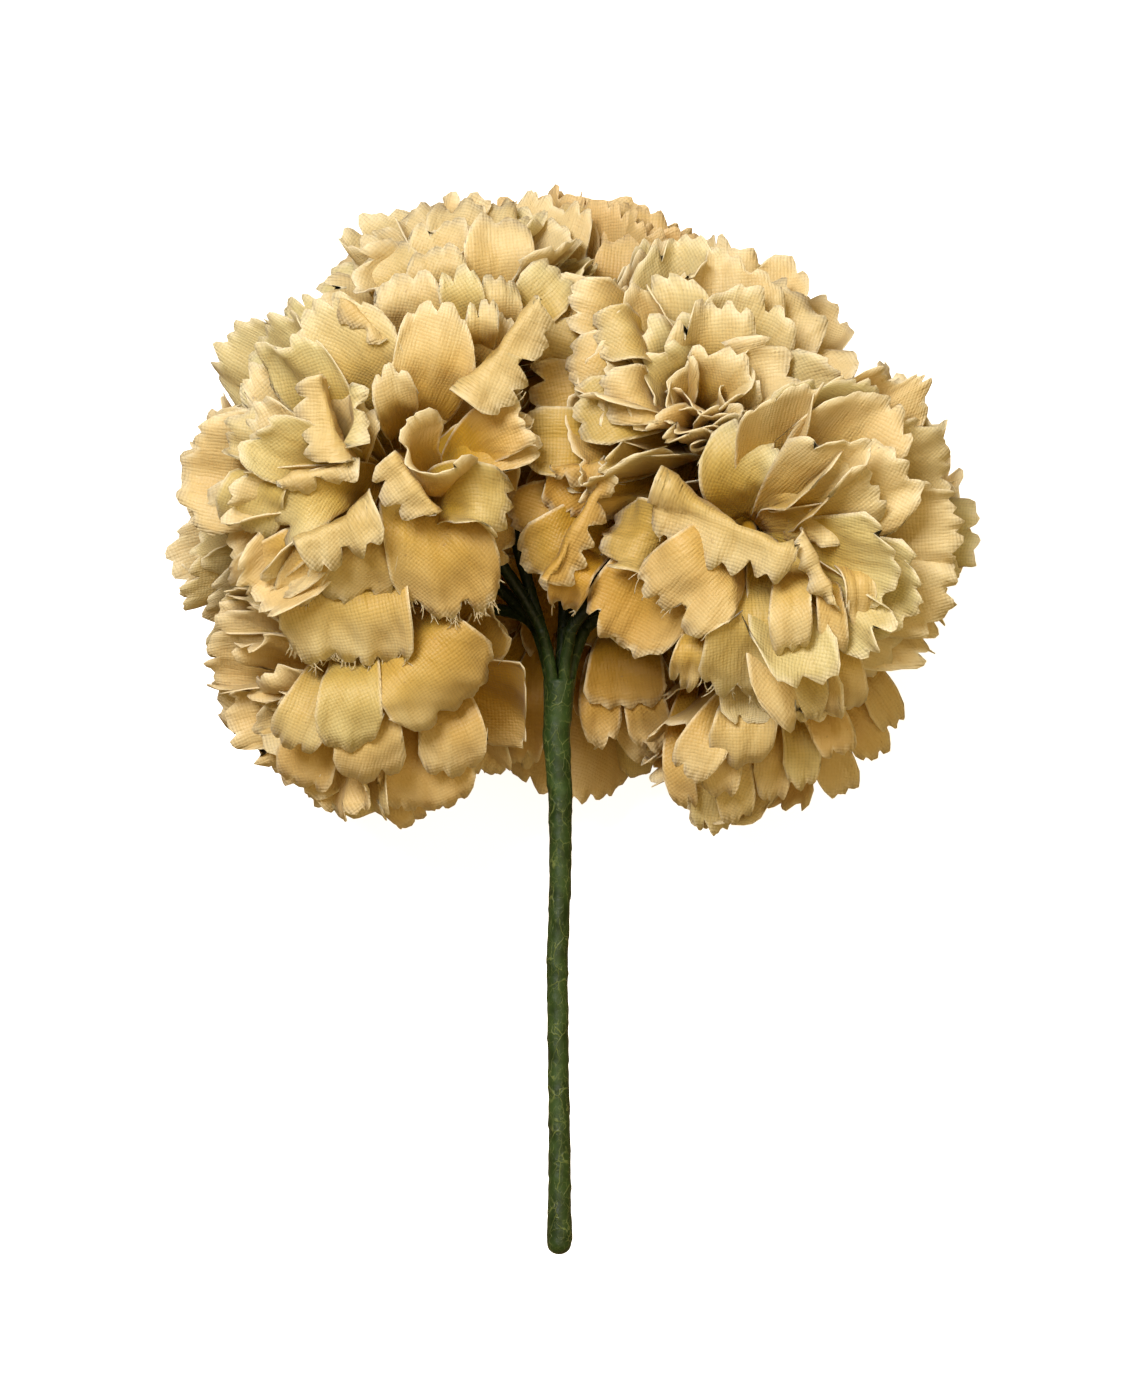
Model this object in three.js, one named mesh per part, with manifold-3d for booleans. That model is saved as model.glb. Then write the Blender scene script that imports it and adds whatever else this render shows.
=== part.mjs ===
// A bunch of ten fabric carnations on taped wire stems, lying on its side. Millimetres.
// +Y runs from the tip of the stem to the blooms, and +Z is up. Places are measured from the
// heart of the ball of blooms. The last lines move the bunch so that its lowest petals lie at
// z = 0, under the middle of the whole.
import * as THREE from "three";
import { mergeVertices } from "three/addons/utils/BufferGeometryUtils.js";
import Module from "manifold-3d";

const wasm = await Module();
wasm.setup();

// Petals
const PETAL_LENGTH = 25;
const CLOTH = 0.6;
const TOOTH_DEPTH = 1.5;
const ROUNDING = 0.1;
const PETAL_ROOT = 0.8;
const BACK_SLACK = 5;

// Stems
const FORK_Y = -20.4;
const STEM_X = -0.7;
const SHAFT_LENGTH = 69;
const SHAFT_R = 1.35;
const SHAFT_TOP_R = 1.85;
const SHAFT_TIP_R = 1.6;
const SOCKET_R = 1.45;
const SOCKET_DEPTH = 7;
const BORE_R = 0.85;
const BRANCH_R = 0.7;
const BRANCH_RING_R = 1.35;
const TAIL_R = 0.3;
const TAIL_RING_R = 0.75;
const TAIL_LENGTH = 5;
const SPLIT_RISE = 7;
const SPLIT_SPREAD = 3.2;
const WIRE_CORE_R = 0.62;

// Clearances
const GAP = 0.3;
const SLIVER = 0.1;
const TWIN_GAP = 0.003;
const TWIN_SHIFT = 0.02;
const CELL_MARGIN = 0.15;
const CELL_SOFTNESS = 6;
const FLOOR_SOFTNESS = 1.2;
const SHAFT_SOFTNESS = 2.5;
const FLOOR_Z = -31.5;
const LYING_Z = -31.15;
const SHAFT_CLEARANCE = 2.7;
const BLOOM_MIDDLE = 9;

const CLOTH_FINISH = { color: 0xd9bd80, roughness: 0.9, metalness: 0 };
const TAPE_FINISH = { color: 0x2c4a20, roughness: 0.65, metalness: 0 };
const WIRE_FINISH = { color: 0x8a8c88, roughness: 0.4, metalness: 1 };

// Where each bloom's petals gather, the way it faces, its turn about its own axis in degrees, and
// how large it is beside the others.
const BLOOMS = [
  { name: "bloom_front_left", base: [-20, 6, 13], faces: [-0.3, -0.28, 0.92], turn: 55, size: 1.0 },
  { name: "bloom_front_right", base: [21.7, -1, 13], faces: [0.12, -0.33, 0.92], turn: 5, size: 1.06 },
  { name: "bloom_upper_right", base: [14.5, 8.5, 4.5], faces: [0.15, 0.36, 0.92], turn: 0, size: 1.04 },
  { name: "bloom_upper_left", base: [-11, 17, 3], faces: [-0.2, 0.82, 0.53], turn: 25, size: 0.97 },
  { name: "bloom_top_back", base: [1, 15.5, -8], faces: [0.15, 0.8, -0.55], turn: 5, size: 1 },
  { name: "bloom_right", base: [27.5, -2, -5], faces: [0.93, -0.06, -0.35], turn: 33, size: 1 },
  { name: "bloom_lower_left", base: [-19, -15.5, -3], faces: [-0.62, -0.55, 0.5], turn: 50, size: 1.03 },
  { name: "bloom_lower_right", base: [22.8, -16.3, -7], faces: [0.6, -0.72, -0.3], turn: 18, size: 0.96 },
  { name: "bloom_back", base: [3, -6, -16], faces: [0.03, -0.38, -0.92], turn: 8, size: 1.08 },
  { name: "bloom_left", base: [-24.5, -1, -9], faces: [-0.88, 0.02, -0.45], turn: 44, size: 1.04 },
];

// The side of the shaft that the petals of the blooms beside it stay on.
const BESIDE_SHAFT = {
  bloom_lower_left: [-1, 0, 0],
  bloom_lower_right: [1, 0, 0],
  bloom_back: [0, 0, -1],
};

// The rings of petals, from the outermost in. open and tip are the angles between the petal and
// the bloom's axis at its root and at its rim; columns are the points across the cloth in each row.
const RINGS = [
  { id: 0, petals: 6, reach: 1, halfAngle: 29, open: 60, tip: 102, root: 0, teeth: 4, columns: [2, 4, 6] },
  { id: 2, petals: 5, reach: 0.88, halfAngle: 30, open: 38, tip: 70, root: 2.4, teeth: 4, columns: [2, 5] },
  { id: 4, petals: 4, reach: 0.68, halfAngle: 32, open: 14, tip: 40, root: 4.8, teeth: 3, columns: [2, 5] },
];

// Each branch carries two blooms and stands at its own angle round the shaft.
const BRANCHES = [
  { name: "branch_front_left", angle: -45, blooms: ["bloom_front_left", "bloom_upper_left"] },
  { name: "branch_front_right", angle: 27, blooms: ["bloom_front_right", "bloom_upper_right"] },
  { name: "branch_right", angle: 99, blooms: ["bloom_right", "bloom_lower_right"] },
  { name: "branch_back", angle: 171, blooms: ["bloom_top_back", "bloom_back"] },
  { name: "branch_left", angle: -117, blooms: ["bloom_left", "bloom_lower_left"] },
];

const radians = THREE.MathUtils.degToRad;
const vector = (list) => new THREE.Vector3(...list);

// A repeatable draw from 0 to 1 for a whole number.
function draw(number) {
  const x = Math.sin(number * 12.9898 + 4.1414) * 43758.5453;
  return x - Math.floor(x);
}

// A closed mesh as a solid that can be joined or cut.
function solidOf(geometry) {
  const bare = geometry.clone();
  bare.deleteAttribute("normal");
  bare.deleteAttribute("uv");
  const merged = mergeVertices(bare, 1e-4);
  return new wasm.Manifold(
    new wasm.Mesh({
      numProp: 3,
      vertProperties: merged.attributes.position.array,
      triVerts: new Uint32Array(merged.index.array),
    }),
  );
}

function geometryOf(solid) {
  const mesh = solid.getMesh();
  const geometry = new THREE.BufferGeometry();
  geometry.setAttribute("position", new THREE.BufferAttribute(mesh.vertProperties, 3));
  geometry.setIndex(new THREE.BufferAttribute(mesh.triVerts, 1));
  geometry.computeVertexNormals();
  partTwins(geometry);
  return geometry;
}

// Where two blades of cloth just touch, corners of both can lie at one place. Each is drawn back
// a little way into its own blade.
function partTwins(geometry) {
  const { position, normal } = geometry.attributes;
  const corners = Array.from({ length: position.count }, (_, i) =>
    new THREE.Vector3().fromBufferAttribute(position, i),
  );
  corners.forEach((corner, i) => {
    if (!corners.some((other) => other !== corner && other.distanceTo(corner) < TWIN_GAP)) return;
    const inward = new THREE.Vector3().fromBufferAttribute(normal, i).multiplyScalar(-TWIN_SHIFT);
    position.setXYZ(i, ...corner.clone().add(inward).toArray());
  });
}

// Solids made one, without the slivers that joining leaves.
function joined(solids) {
  return solids.reduce((whole, solid) => whole.add(solid)).asOriginal().simplify(SLIVER);
}

// How far a petal's rim reaches at t, which runs from -1 to 1 across it: a shallow arc with teeth.
function rimReach(petal, t) {
  const tooth = 2 * Math.abs(((t + 1) * petal.teeth) / 2 - Math.floor(((t + 1) * petal.teeth) / 2) - 0.5);
  return 1 - ROUNDING * t * t - (TOOTH_DEPTH / petal.length) * tooth;
}

const smooth = (low, high, x) => {
  const share = THREE.MathUtils.clamp((x - low) / (high - low), 0, 1);
  return share * share * (3 - 2 * share);
};

// The middle line of a petal leans out from the bloom's axis as it rises, and curls near its rim.
function middleLine(petal, share) {
  const steps = 12;
  let out = PETAL_ROOT;
  let up = petal.root;
  let lean = petal.open;
  for (let i = 0; i < steps; i++) {
    const s = ((i + 0.5) / steps) * share;
    lean = petal.open + (petal.tip - petal.open) * s + petal.curl * smooth(0.6, 1.1, s);
    out += (Math.sin(lean) * petal.length * share) / steps;
    up += (Math.cos(lean) * petal.length * share) / steps;
  }
  return { out, up, lean };
}

// Across the middle line the cloth is cupped, twisted and waved, more so towards the rim.
function acrossLine(petal, width, t, s) {
  const steps = 10;
  let side = 0;
  let lift = 0;
  for (let i = 0; i < steps; i++) {
    const x = ((i + 0.5) / steps) * t;
    const wave = petal.ruffle * s * s * Math.sin(Math.PI * petal.waves * x + petal.phase);
    const slope = petal.twist + petal.cup * x + wave;
    side += (Math.cos(slope) * width) / steps;
    lift += (Math.sin(slope) * width) / steps;
  }
  return { side, lift };
}

// A point of the cloth at s along the petal and t across it, in the bloom's own frame.
function clothPoint(petal, s, t) {
  const angle = t * petal.halfAngle;
  const reach = s * petal.length * rimReach(petal, s > 0.9 ? t : 0);
  const { out, up, lean } = middleLine(petal, (reach * Math.cos(angle)) / petal.length);
  const { side, lift } = acrossLine(petal, reach * Math.sin(angle), t, s);
  const outward = out - lift * Math.cos(lean);
  const upward = up + lift * Math.sin(lean);
  return new THREE.Vector3(
    outward * Math.cos(petal.turn) - side * Math.sin(petal.turn),
    outward * Math.sin(petal.turn) + side * Math.cos(petal.turn),
    upward,
  );
}

// One petal's own shape, drawn about its ring's. The same numbers always give the same petal.
function petalShape(bloomNumber, bloom, ring, index) {
  const seed = bloomNumber * 1000 + ring.id * 100 + index * 10;
  const about = (step) => 2 * draw(seed + step) - 1;
  const share = (index + (ring.id % 4) / 8) / ring.petals;
  return {
    turn: radians(bloom.turn + 360 * share + 7 * about(1)),
    length: PETAL_LENGTH * bloom.size * ring.reach * (1 + 0.07 * about(2)),
    halfAngle: radians(ring.halfAngle * (1 + 0.08 * about(3))),
    open: radians(ring.open + 5 * about(4)),
    tip: radians(ring.tip + 12 * about(5)),
    curl: radians(22 + 30 * about(6)),
    cup: radians(14 + 16 * about(7)),
    twist: radians(9 + 7 * about(8)),
    ruffle: radians(34 + 14 * about(9)),
    waves: 1.7 + 0.4 * about(10),
    phase: Math.PI * about(11),
    root: ring.root,
    layer: 0.2 * ring.id + 0.3 * (index % 2),
    teeth: ring.teeth,
  };
}

// A plane that petals bend away from: they stay on the side that its normal points to. Petals lie
// on one another against a barrier that stacks, and all flat against one that doesn't.
function barrier(normal, point, softness, stacks = true) {
  return { plane: new THREE.Plane().setFromNormalAndCoplanarPoint(normal, point), softness, stacks };
}

// The distance from a barrier after bending: never under nearest, and unchanged far away.
function bentDistance(distance, nearest, softness) {
  if (distance >= softness) return distance;
  return nearest + (softness - nearest) * Math.exp((distance - softness) / (softness - nearest));
}

// Bends a petal's point clear of every barrier. Cloth that is pushed back slides outwards along it.
function bendClear(point, petal, barriers) {
  const nearest = (stacks) => CLOTH / 2 + CELL_MARGIN + (stacks ? petal.layer : 0);
  for (const { plane, softness, stacks } of barriers) {
    const distance = plane.distanceToPoint(point);
    const pushed = bentDistance(distance, nearest(stacks), softness) - distance;
    const slide = new THREE.Vector3(0, 0, 1).addScaledVector(plane.normal, -plane.normal.z);
    point.addScaledVector(plane.normal, pushed).addScaledVector(slide, 0.5 * pushed);
  }
  for (let pass = 0; pass < 30; pass++)
    for (const { plane, stacks } of barriers) {
      const short = nearest(stacks) - plane.distanceToPoint(point);
      if (short > 0) point.addScaledVector(plane.normal, short);
    }
  return point;
}

// Triangles between two rows of points that each run from t = -1 to t = 1.
function stitch(rowA, startA, rowB, startB) {
  const triangles = [];
  let a = 0;
  let b = 0;
  while (a < rowA - 1 || b < rowB - 1) {
    const nextA = (a + 1) / (rowA - 1);
    const nextB = (b + 1) / (rowB - 1);
    if (b < rowB - 1 && nextB <= nextA + 1e-9) triangles.push([startA + a, startB + b, startB + ++b]);
    else triangles.push([startA + a, startB + b, startA + ++a]);
  }
  return triangles;
}

// A petal as a closed blade of cloth: its middle sheet, thickened alike to both sides.
function petalSolid(petal, columns, barriers) {
  const counts = [...columns, 2 * petal.teeth + 1];
  const points = [];
  const starts = [];
  counts.forEach((count, row) => {
    const s = 0.05 + 0.95 * (row / (counts.length - 1));
    starts.push(points.length);
    for (let i = 0; i < count; i++)
      points.push(bendClear(clothPoint(petal, s, (2 * i) / (count - 1) - 1), petal, barriers));
  });
  const sheet = [];
  for (let row = 1; row < counts.length; row++)
    sheet.push(...stitch(counts[row - 1], starts[row - 1], counts[row], starts[row]));
  return thickened(points, sheet, edgeLoop(counts, starts));
}

// The border of the sheet as a ring of point numbers.
function edgeLoop(counts, starts) {
  const last = counts.length - 1;
  const root = Array.from({ length: counts[0] }, (_, i) => starts[0] + i).reverse();
  const left = starts.slice(1, last);
  const rim = Array.from({ length: counts[last] }, (_, i) => starts[last] + i);
  const right = starts.slice(1, last).map((start, i) => start + counts[i + 1] - 1);
  return [...root, ...left, ...rim, ...right.reverse()];
}

function thickened(points, sheet, loop) {
  const flat = new THREE.BufferGeometry().setFromPoints(points).setIndex(sheet.flat());
  flat.computeVertexNormals();
  const normals = flat.attributes.normal;
  const positions = [];
  for (const side of [1, -1])
    points.forEach((point, i) => {
      const normal = new THREE.Vector3().fromBufferAttribute(normals, i);
      positions.push(...point.clone().addScaledVector(normal, (side * CLOTH) / 2).toArray());
    });
  const under = points.length;
  const index = sheet.flat();
  for (const [a, b, c] of sheet) index.push(a + under, c + under, b + under);
  loop.forEach((a, i) => {
    const b = loop[(i + 1) % loop.length];
    index.push(a, a + under, b, b, a + under, b + under);
  });
  const blade = new THREE.BufferGeometry();
  blade.setAttribute("position", new THREE.Float32BufferAttribute(positions, 3));
  blade.setIndex(index);
  return solidOf(blade);
}

// The small heart of a bloom, where the layers of cloth are gathered on the wire.
function heartSolid() {
  const profile = [
    [0, -2],
    [1.3, -2],
    [2.7, 0],
    [3.6, 4],
    [3, 8],
    [0, 10],
  ].map(([r, h]) => new THREE.Vector2(r, h));
  return solidOf(new THREE.LatheGeometry(profile, 8).rotateX(Math.PI / 2));
}

function bloomFrame(bloom) {
  const facing = vector(bloom.faces).normalize();
  const turn = new THREE.Quaternion().setFromUnitVectors(new THREE.Vector3(0, 0, 1), facing);
  return { base: vector(bloom.base), facing, turn };
}

// The barriers round a bloom, in its own frame: between it and each neighbour, the surface that the
// bunch lies on, the plane behind its own petals, and the shaft where its petals come near it.
function barriersOf(bloom) {
  const { base, facing, turn } = bloomFrame(bloom);
  const middle = base.clone().addScaledVector(facing, BLOOM_MIDDLE);
  const barriers = BLOOMS.filter((other) => other !== bloom).map((other) => {
    const frame = bloomFrame(other);
    const otherMiddle = frame.base.clone().addScaledVector(frame.facing, BLOOM_MIDDLE);
    const share = bloom.size / (bloom.size + other.size);
    const between = middle.clone().lerp(otherMiddle, share);
    return barrier(middle.clone().sub(otherMiddle).normalize(), between, CELL_SOFTNESS);
  });
  barriers.push(barrier(facing, base.clone().addScaledVector(facing, -BACK_SLACK), BACK_SLACK));
  barriers.push(barrier(new THREE.Vector3(0, 0, 1), new THREE.Vector3(0, 0, FLOOR_Z), FLOOR_SOFTNESS, false));
  if (BESIDE_SHAFT[bloom.name]) {
    const away = vector(BESIDE_SHAFT[bloom.name]);
    const beside = new THREE.Vector3(STEM_X, FORK_Y, 0).addScaledVector(away, SHAFT_CLEARANCE);
    barriers.push(barrier(away, beside, SHAFT_SOFTNESS));
  }
  const toLocal = new THREE.Matrix4().compose(base, turn, new THREE.Vector3(1, 1, 1)).invert();
  barriers.forEach(({ plane }) => plane.applyMatrix4(toLocal));
  return barriers;
}

function makeBloom(bloom, number) {
  const barriers = barriersOf(bloom);
  const solids = [heartSolid()];
  for (const ring of RINGS)
    for (let index = 0; index < ring.petals; index++)
      solids.push(petalSolid(petalShape(number, bloom, ring, index), ring.columns, barriers));
  const { base, turn } = bloomFrame(bloom);
  const up = new THREE.Vector3(0, 0, 1).applyQuaternion(turn.clone().invert());
  // The petals that the bunch lies on are pressed flat underneath.
  const solid = joined(solids).trimByPlane(up.toArray(), LYING_Z - base.z);
  const mesh = new THREE.Mesh(geometryOf(solid), new THREE.MeshStandardMaterial(CLOTH_FINISH));
  mesh.name = bloom.name;
  mesh.position.copy(base);
  mesh.quaternion.copy(turn);
  return mesh;
}

// A round rod along a curve, with flat ends.
function rodSolid(curve, radius, steps, sides = 8) {
  const section = new THREE.Shape().absarc(0, 0, radius, 0, 2 * Math.PI);
  const extruded = new THREE.ExtrudeGeometry(section, {
    steps,
    curveSegments: sides / 2,
    extrudePath: curve,
    bevelEnabled: false,
  });
  return solidOf(extruded);
}

// A place round the stem's axis at a height along Y.
function roundStem(angle, radius, y) {
  return new THREE.Vector3(STEM_X + radius * Math.sin(angle), y, radius * Math.cos(angle));
}

// Two taped wires that part above the fork, and their bare tail that stands in the shaft.
function makeBranch(branch) {
  const angle = radians(branch.angle);
  const foot = roundStem(angle, BRANCH_RING_R, FORK_Y + GAP);
  const split = roundStem(angle, SPLIT_SPREAD, FORK_Y + SPLIT_RISE);
  const solids = [];
  const lower = new THREE.QuadraticBezierCurve3(foot, foot.clone().setY(FORK_Y + 3), split);
  solids.push(rodSolid(lower, BRANCH_R, 3));
  for (const name of branch.blooms) {
    const { base, facing } = bloomFrame(BLOOMS.find((bloom) => bloom.name === name));
    const end = base.clone().addScaledVector(facing, -2 - GAP);
    const start = split.clone().addScaledVector(lower.getTangent(1), -0.8);
    const rising = start.clone().addScaledVector(lower.getTangent(1), 5);
    const arriving = end.clone().addScaledVector(facing, -6);
    solids.push(rodSolid(new THREE.CubicBezierCurve3(start, rising, arriving, end), BRANCH_R, 7));
  }
  const tailFoot = roundStem(angle, TAIL_RING_R, FORK_Y - TAIL_LENGTH);
  const tailTop = roundStem(angle, TAIL_RING_R + 0.25, FORK_Y + 1);
  solids.push(rodSolid(new THREE.LineCurve3(tailFoot, tailTop), TAIL_R, 1, 6));
  const mesh = new THREE.Mesh(geometryOf(joined(solids)), new THREE.MeshStandardMaterial(TAPE_FINISH));
  mesh.name = branch.name;
  return mesh;
}

// The tape wound round the lower ends of the wires: a sleeve with a rounded tip and an open top.
function makeShaft() {
  const top = FORK_Y;
  const tip = FORK_Y - SHAFT_LENGTH;
  const outer = [
    [0, tip],
    [0.9, tip + 0.2],
    [SHAFT_TIP_R, tip + 1.6],
    [SHAFT_TIP_R, tip + 3.5],
    [SHAFT_R, tip + 8],
    [SHAFT_R, tip + 30],
    [SHAFT_R + 0.1, top - 22],
    [SHAFT_TOP_R - 0.1, top - 10],
    [SHAFT_TOP_R, top],
  ];
  const inner = [
    [SOCKET_R, top],
    [SOCKET_R, top - SOCKET_DEPTH],
    [BORE_R, top - SOCKET_DEPTH - 1],
    [BORE_R, tip + 4],
    [0, tip + 4],
  ];
  const profile = [...outer, ...inner].map(([r, y]) => new THREE.Vector2(r, y));
  const mesh = new THREE.Mesh(
    geometryOf(solidOf(new THREE.LatheGeometry(profile, 12))),
    new THREE.MeshStandardMaterial(TAPE_FINISH),
  );
  mesh.name = "stem_shaft";
  mesh.position.x = STEM_X;
  return mesh;
}

// The wires inside the shaft, twisted into one core.
function makeWireCore() {
  const lobes = 5;
  const section = new THREE.Shape();
  for (let i = 0; i < 2 * lobes; i++) {
    const angle = (Math.PI * i) / lobes;
    const r = i % 2 ? 0.8 * WIRE_CORE_R : WIRE_CORE_R;
    if (i === 0) section.moveTo(r, 0);
    else section.lineTo(r * Math.cos(angle), r * Math.sin(angle));
  }
  const length = SHAFT_LENGTH - SOCKET_DEPTH - 1 - 4 - GAP;
  const core = new THREE.ExtrudeGeometry(section, { steps: 14, depth: length, bevelEnabled: false });
  const places = core.attributes.position;
  const twist = radians(720) / length;
  for (let i = 0; i < places.count; i++) {
    const point = new THREE.Vector3().fromBufferAttribute(places, i);
    point.applyAxisAngle(new THREE.Vector3(0, 0, 1), twist * point.z);
    places.setXYZ(i, point.x, point.y, point.z);
  }
  core.rotateX(Math.PI / 2);
  const mesh = new THREE.Mesh(geometryOf(solidOf(core)), new THREE.MeshStandardMaterial(WIRE_FINISH));
  mesh.name = "wire_core";
  mesh.position.set(STEM_X, FORK_Y - SOCKET_DEPTH - 1, 0);
  return mesh;
}

const bunch = new THREE.Group();
bunch.add(...BLOOMS.map(makeBloom), ...BRANCHES.map(makeBranch), makeShaft(), makeWireCore());
const box = new THREE.Box3().setFromObject(bunch, true);
const centre = box.getCenter(new THREE.Vector3());
bunch.position.set(-centre.x, -centre.y, -box.min.z);

export default bunch;
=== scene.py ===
"""A bunch of ten fabric carnations on taped wire stems, lying on its back on a pale surface."""

import math
from types import SimpleNamespace
from typing import NamedTuple

import bmesh
import bpy
import numpy as np
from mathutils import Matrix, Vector


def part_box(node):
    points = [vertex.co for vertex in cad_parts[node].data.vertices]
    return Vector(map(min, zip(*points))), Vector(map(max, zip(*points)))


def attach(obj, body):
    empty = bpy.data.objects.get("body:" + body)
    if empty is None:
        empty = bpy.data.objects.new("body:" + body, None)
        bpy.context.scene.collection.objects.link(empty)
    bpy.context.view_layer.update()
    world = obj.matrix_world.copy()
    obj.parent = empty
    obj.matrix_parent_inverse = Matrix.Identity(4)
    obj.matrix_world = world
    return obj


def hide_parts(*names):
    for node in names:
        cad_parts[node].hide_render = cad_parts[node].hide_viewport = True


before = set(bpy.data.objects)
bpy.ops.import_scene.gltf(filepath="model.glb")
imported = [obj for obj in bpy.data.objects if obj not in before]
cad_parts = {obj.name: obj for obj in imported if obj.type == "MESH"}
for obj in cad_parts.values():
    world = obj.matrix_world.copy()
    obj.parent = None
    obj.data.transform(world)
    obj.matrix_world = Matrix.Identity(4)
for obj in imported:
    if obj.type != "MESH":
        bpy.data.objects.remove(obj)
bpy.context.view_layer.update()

bl_info = {
    "name": "Bunch of fabric carnations",
    "version": (1, 0, 0),
    "blender": (4, 5, 0),
    "location": "3D View > Sidebar > Carnations",
    "description": "Makes the cloth petals, taped stems and studio of a bunch of carnations",
    "category": "Object",
}

MM = 0.001

# The solids of the stem, in millimetres from the heart of the ball of blooms. +Y runs from the
# stem's tip to the blooms, and +Z is up.
STEM_X = -0.7
FORK_Y = -20.4
SHAFT_LENGTH = 69
SHAFT_LAP = 0.8
BRANCH_RING_R = 1.35
BRANCH_R = 0.7
SPLIT_RISE = 7
SPLIT_SPREAD = 3.2
FLOOR_Z = -31.15

# How far the shaft wanders sideways, and its radius, at heights above the fork
SHAFT_WANDER = (
    (0, 0.0), (-6, -0.35), (-13, 0.1), (-22, 0.15), (-34, -0.25), (-47, -0.1), (-58, 0.05),
    (-69, 0.0),
)
SHAFT_GIRTH = (
    (SHAFT_LAP, 1.94), (0, 1.96), (-1.5, 1.84), (-4, 1.72), (-9, 1.6), (-16, 1.42), (-26, 1.33),
    (-50, 1.3), (-62, 1.42), (-66, 1.55), (-69, 1.55),
)
SHAFT_STEPS = 150
SHAFT_SIDES = 28
TIP_STEPS = 7
TIP_LENGTH = 1.45
TIP_R = 1.5
TIP_END_R = 0.08

# The tape is wound in laps that waver, rise slowly and drop to the lap below. It is creased.
LAP_PITCH = 5.2
LAP_HEIGHT = 0.1
LAP_WAVER = 0.12
CREASE_HEIGHT = 0.035
TAPE_RISE = 0.04

# A branch starts inside the shaft, and its two wires end behind their blooms in flared collars.
BRANCH_SIDES = 14
BRANCH_FOOT = 1.2
BRANCH_INSET = 0.3
BRANCH_KNEE = 3
STALK_STEPS = 16
WIRE_STEPS = 44
WIRE_OVERLAP = 0.8
WIRE_LEAVING = 5
WIRE_ARRIVING = 6
COLLAR_GAP = 2.3
COLLAR_STEPS = 10
COLLAR_FLARE = 0.45

# How petals keep clear of what is beside them
CELL_SOFTNESS = 6
FLOOR_SOFTNESS = 1.2
SHAFT_SOFTNESS = 2.5
SHAFT_CLEARANCE = 2.7
BACK_SLACK = 5
HEART_SLACK = 11
BLOOM_MIDDLE = 9
CLEARANCE = 0.32
RING_GAP = 0.12
PETAL_GAP = 0.25

# Cloth that is pushed back slides along the barrier by this share of the push, towards the side
# that its bloom faces. It is then moved clear of all the barriers in turn, a number of times.
SLIDE = 0.5
PASSES = 20

# A petal whose rim, the last part of its length, would have to be pushed further is left out.
MOST_BENT = 8
RIM_SHARE = 0.7

# The middle line of a petal is followed in steps, a little beyond the petal's own length.
STEPS = 24
SHARES = (np.arange(STEPS + 3) + 0.5) / STEPS
EDGES = np.arange(STEPS + 4) / STEPS

# A petal's cloth starts a little above its root and is narrow there. Its teeth are cut into a
# strip behind its rim, and its rows of points crowd towards the rim.
ROOT_START = 0.05
ROOT_WIDTH = 0.07
TOOTHED_STRIP = 2.2
RAGGED = 0.14
ROWS_CROWD = 1.25
ACROSS_STEPS = 10

# How far from their bloom's axis the petals in rings start
AXIS_GAP = 0.8

# The rim of a petal in a ring is rounder than an arc about its root, for which this would be 1.
ROUND_RIM = 1.07

# How far the corners of a rim drop back, as a share of the petal's length
CORNER_DROP = 0.08

# The shares of a petal's length between which its curl, lip, rolled sides and dents set in, and
# the shares of its half width between which its sides roll
CURLED = (0.6, 1.1)
LIPPED = (0.78, 1.02)
ROLLED = (0.1, 0.6)
DENTED = (0.1, 0.5)
ROLLED_SIDE = (0.25, 0.75)

# Shallow dents in the cloth, and the most that its weave lies askew on a petal, in radians
BROAD_DENT = 0.22
FINE_DENT = 0.14
MOST_BIAS = 0.6

# The width of the strip along a petal's cut edge where its threads are loose and pale
EDGE_WIDTH = 0.6

# A loose thread: how far along the petal and how far to its sides it may start, its half width,
# its least length and what is added to it, and how far it may bow for its length and lean across
# and out of the cloth
THREAD_ROOT = 0.995
THREAD_ASIDE = 0.95
THREAD_HALF_WIDTH = 0.045
THREAD_SHORTEST = 0.7
THREAD_LONGER = 1.5
THREAD_BOW = 0.5
THREAD_LEAN_ACROSS = 0.45
THREAD_LEAN_OUT = 0.35
THREAD_STEPS = 4

# The cone of cloth that a bloom's petals are gathered on
CONE_SIDES = 14
CONE_FOOT_R = 1.3
CONE_TIP_R = 0.5
CONE_HEIGHT = 7.5
CONE_MIDDLE = 1.75

# The values that the cloth's mesh holds for each of its points
CLOTH_VALUES = ("edge", "deep", "hollow", "tone")

# How a petal in a ring strays from its ring: its place round the bloom and its lean in degrees,
# and its length and spread as shares. Each is drawn as the next tables say.
RING_STRAYS = {
    "azimuth": (0, 9, 1),
    "length": (1, 0.08, 2),
    "spread": (1, 0.15, 3),
    "opening": (0, 9, 4),
    "tip": (0, 15, 5),
}

# How the folds of petals in rings and of listed petals are drawn: the middle, how far it may
# differ, and the number of the draw. Waves and ripples are counted across a petal, skew is a share
# of its length, and the rest are in degrees.
RING_FOLDS = {
    "curl": (20, 34, 6),
    "cup": (14, 24, 7),
    "twist": (6, 18, 8),
    "ruffle": (36, 20, 9),
    "waves": (1.5, 0.5, 10),
    "phase": (0, 180, 11),
    "ripple": (18, 9, 12),
    "ripples": (3.6, 1.2, 13),
    "skew": (0, 0.06, 17),
}
LAID_FOLDS = {
    "cup": (10, 10, 7),
    "twist": (0, 4, 8),
    "waves": (1.7, 0.3, 10),
    "phase": (0, 180, 11),
    "ripple": (15, 6, 12),
    "ripples": (4.4, 1.3, 13),
    "lip": (8, 12, 14),
}

# How a tooth of the cut rim is drawn: its place, in teeth, its height in millimetres, and how
# blunt it is
TOOTH_DRAWS = {"place": (0, 0.3, 31), "height": (0, 0.45, 32), "blunt": (2.4, 0.7, 33)}

# The most that a ringed petal's rim bends back and its sides roll, and the share of that in the
# collar behind a bloom
RING_LIP = 55
MOST_ROLLED = 130
COLLAR_ROLL = 0.4

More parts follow.
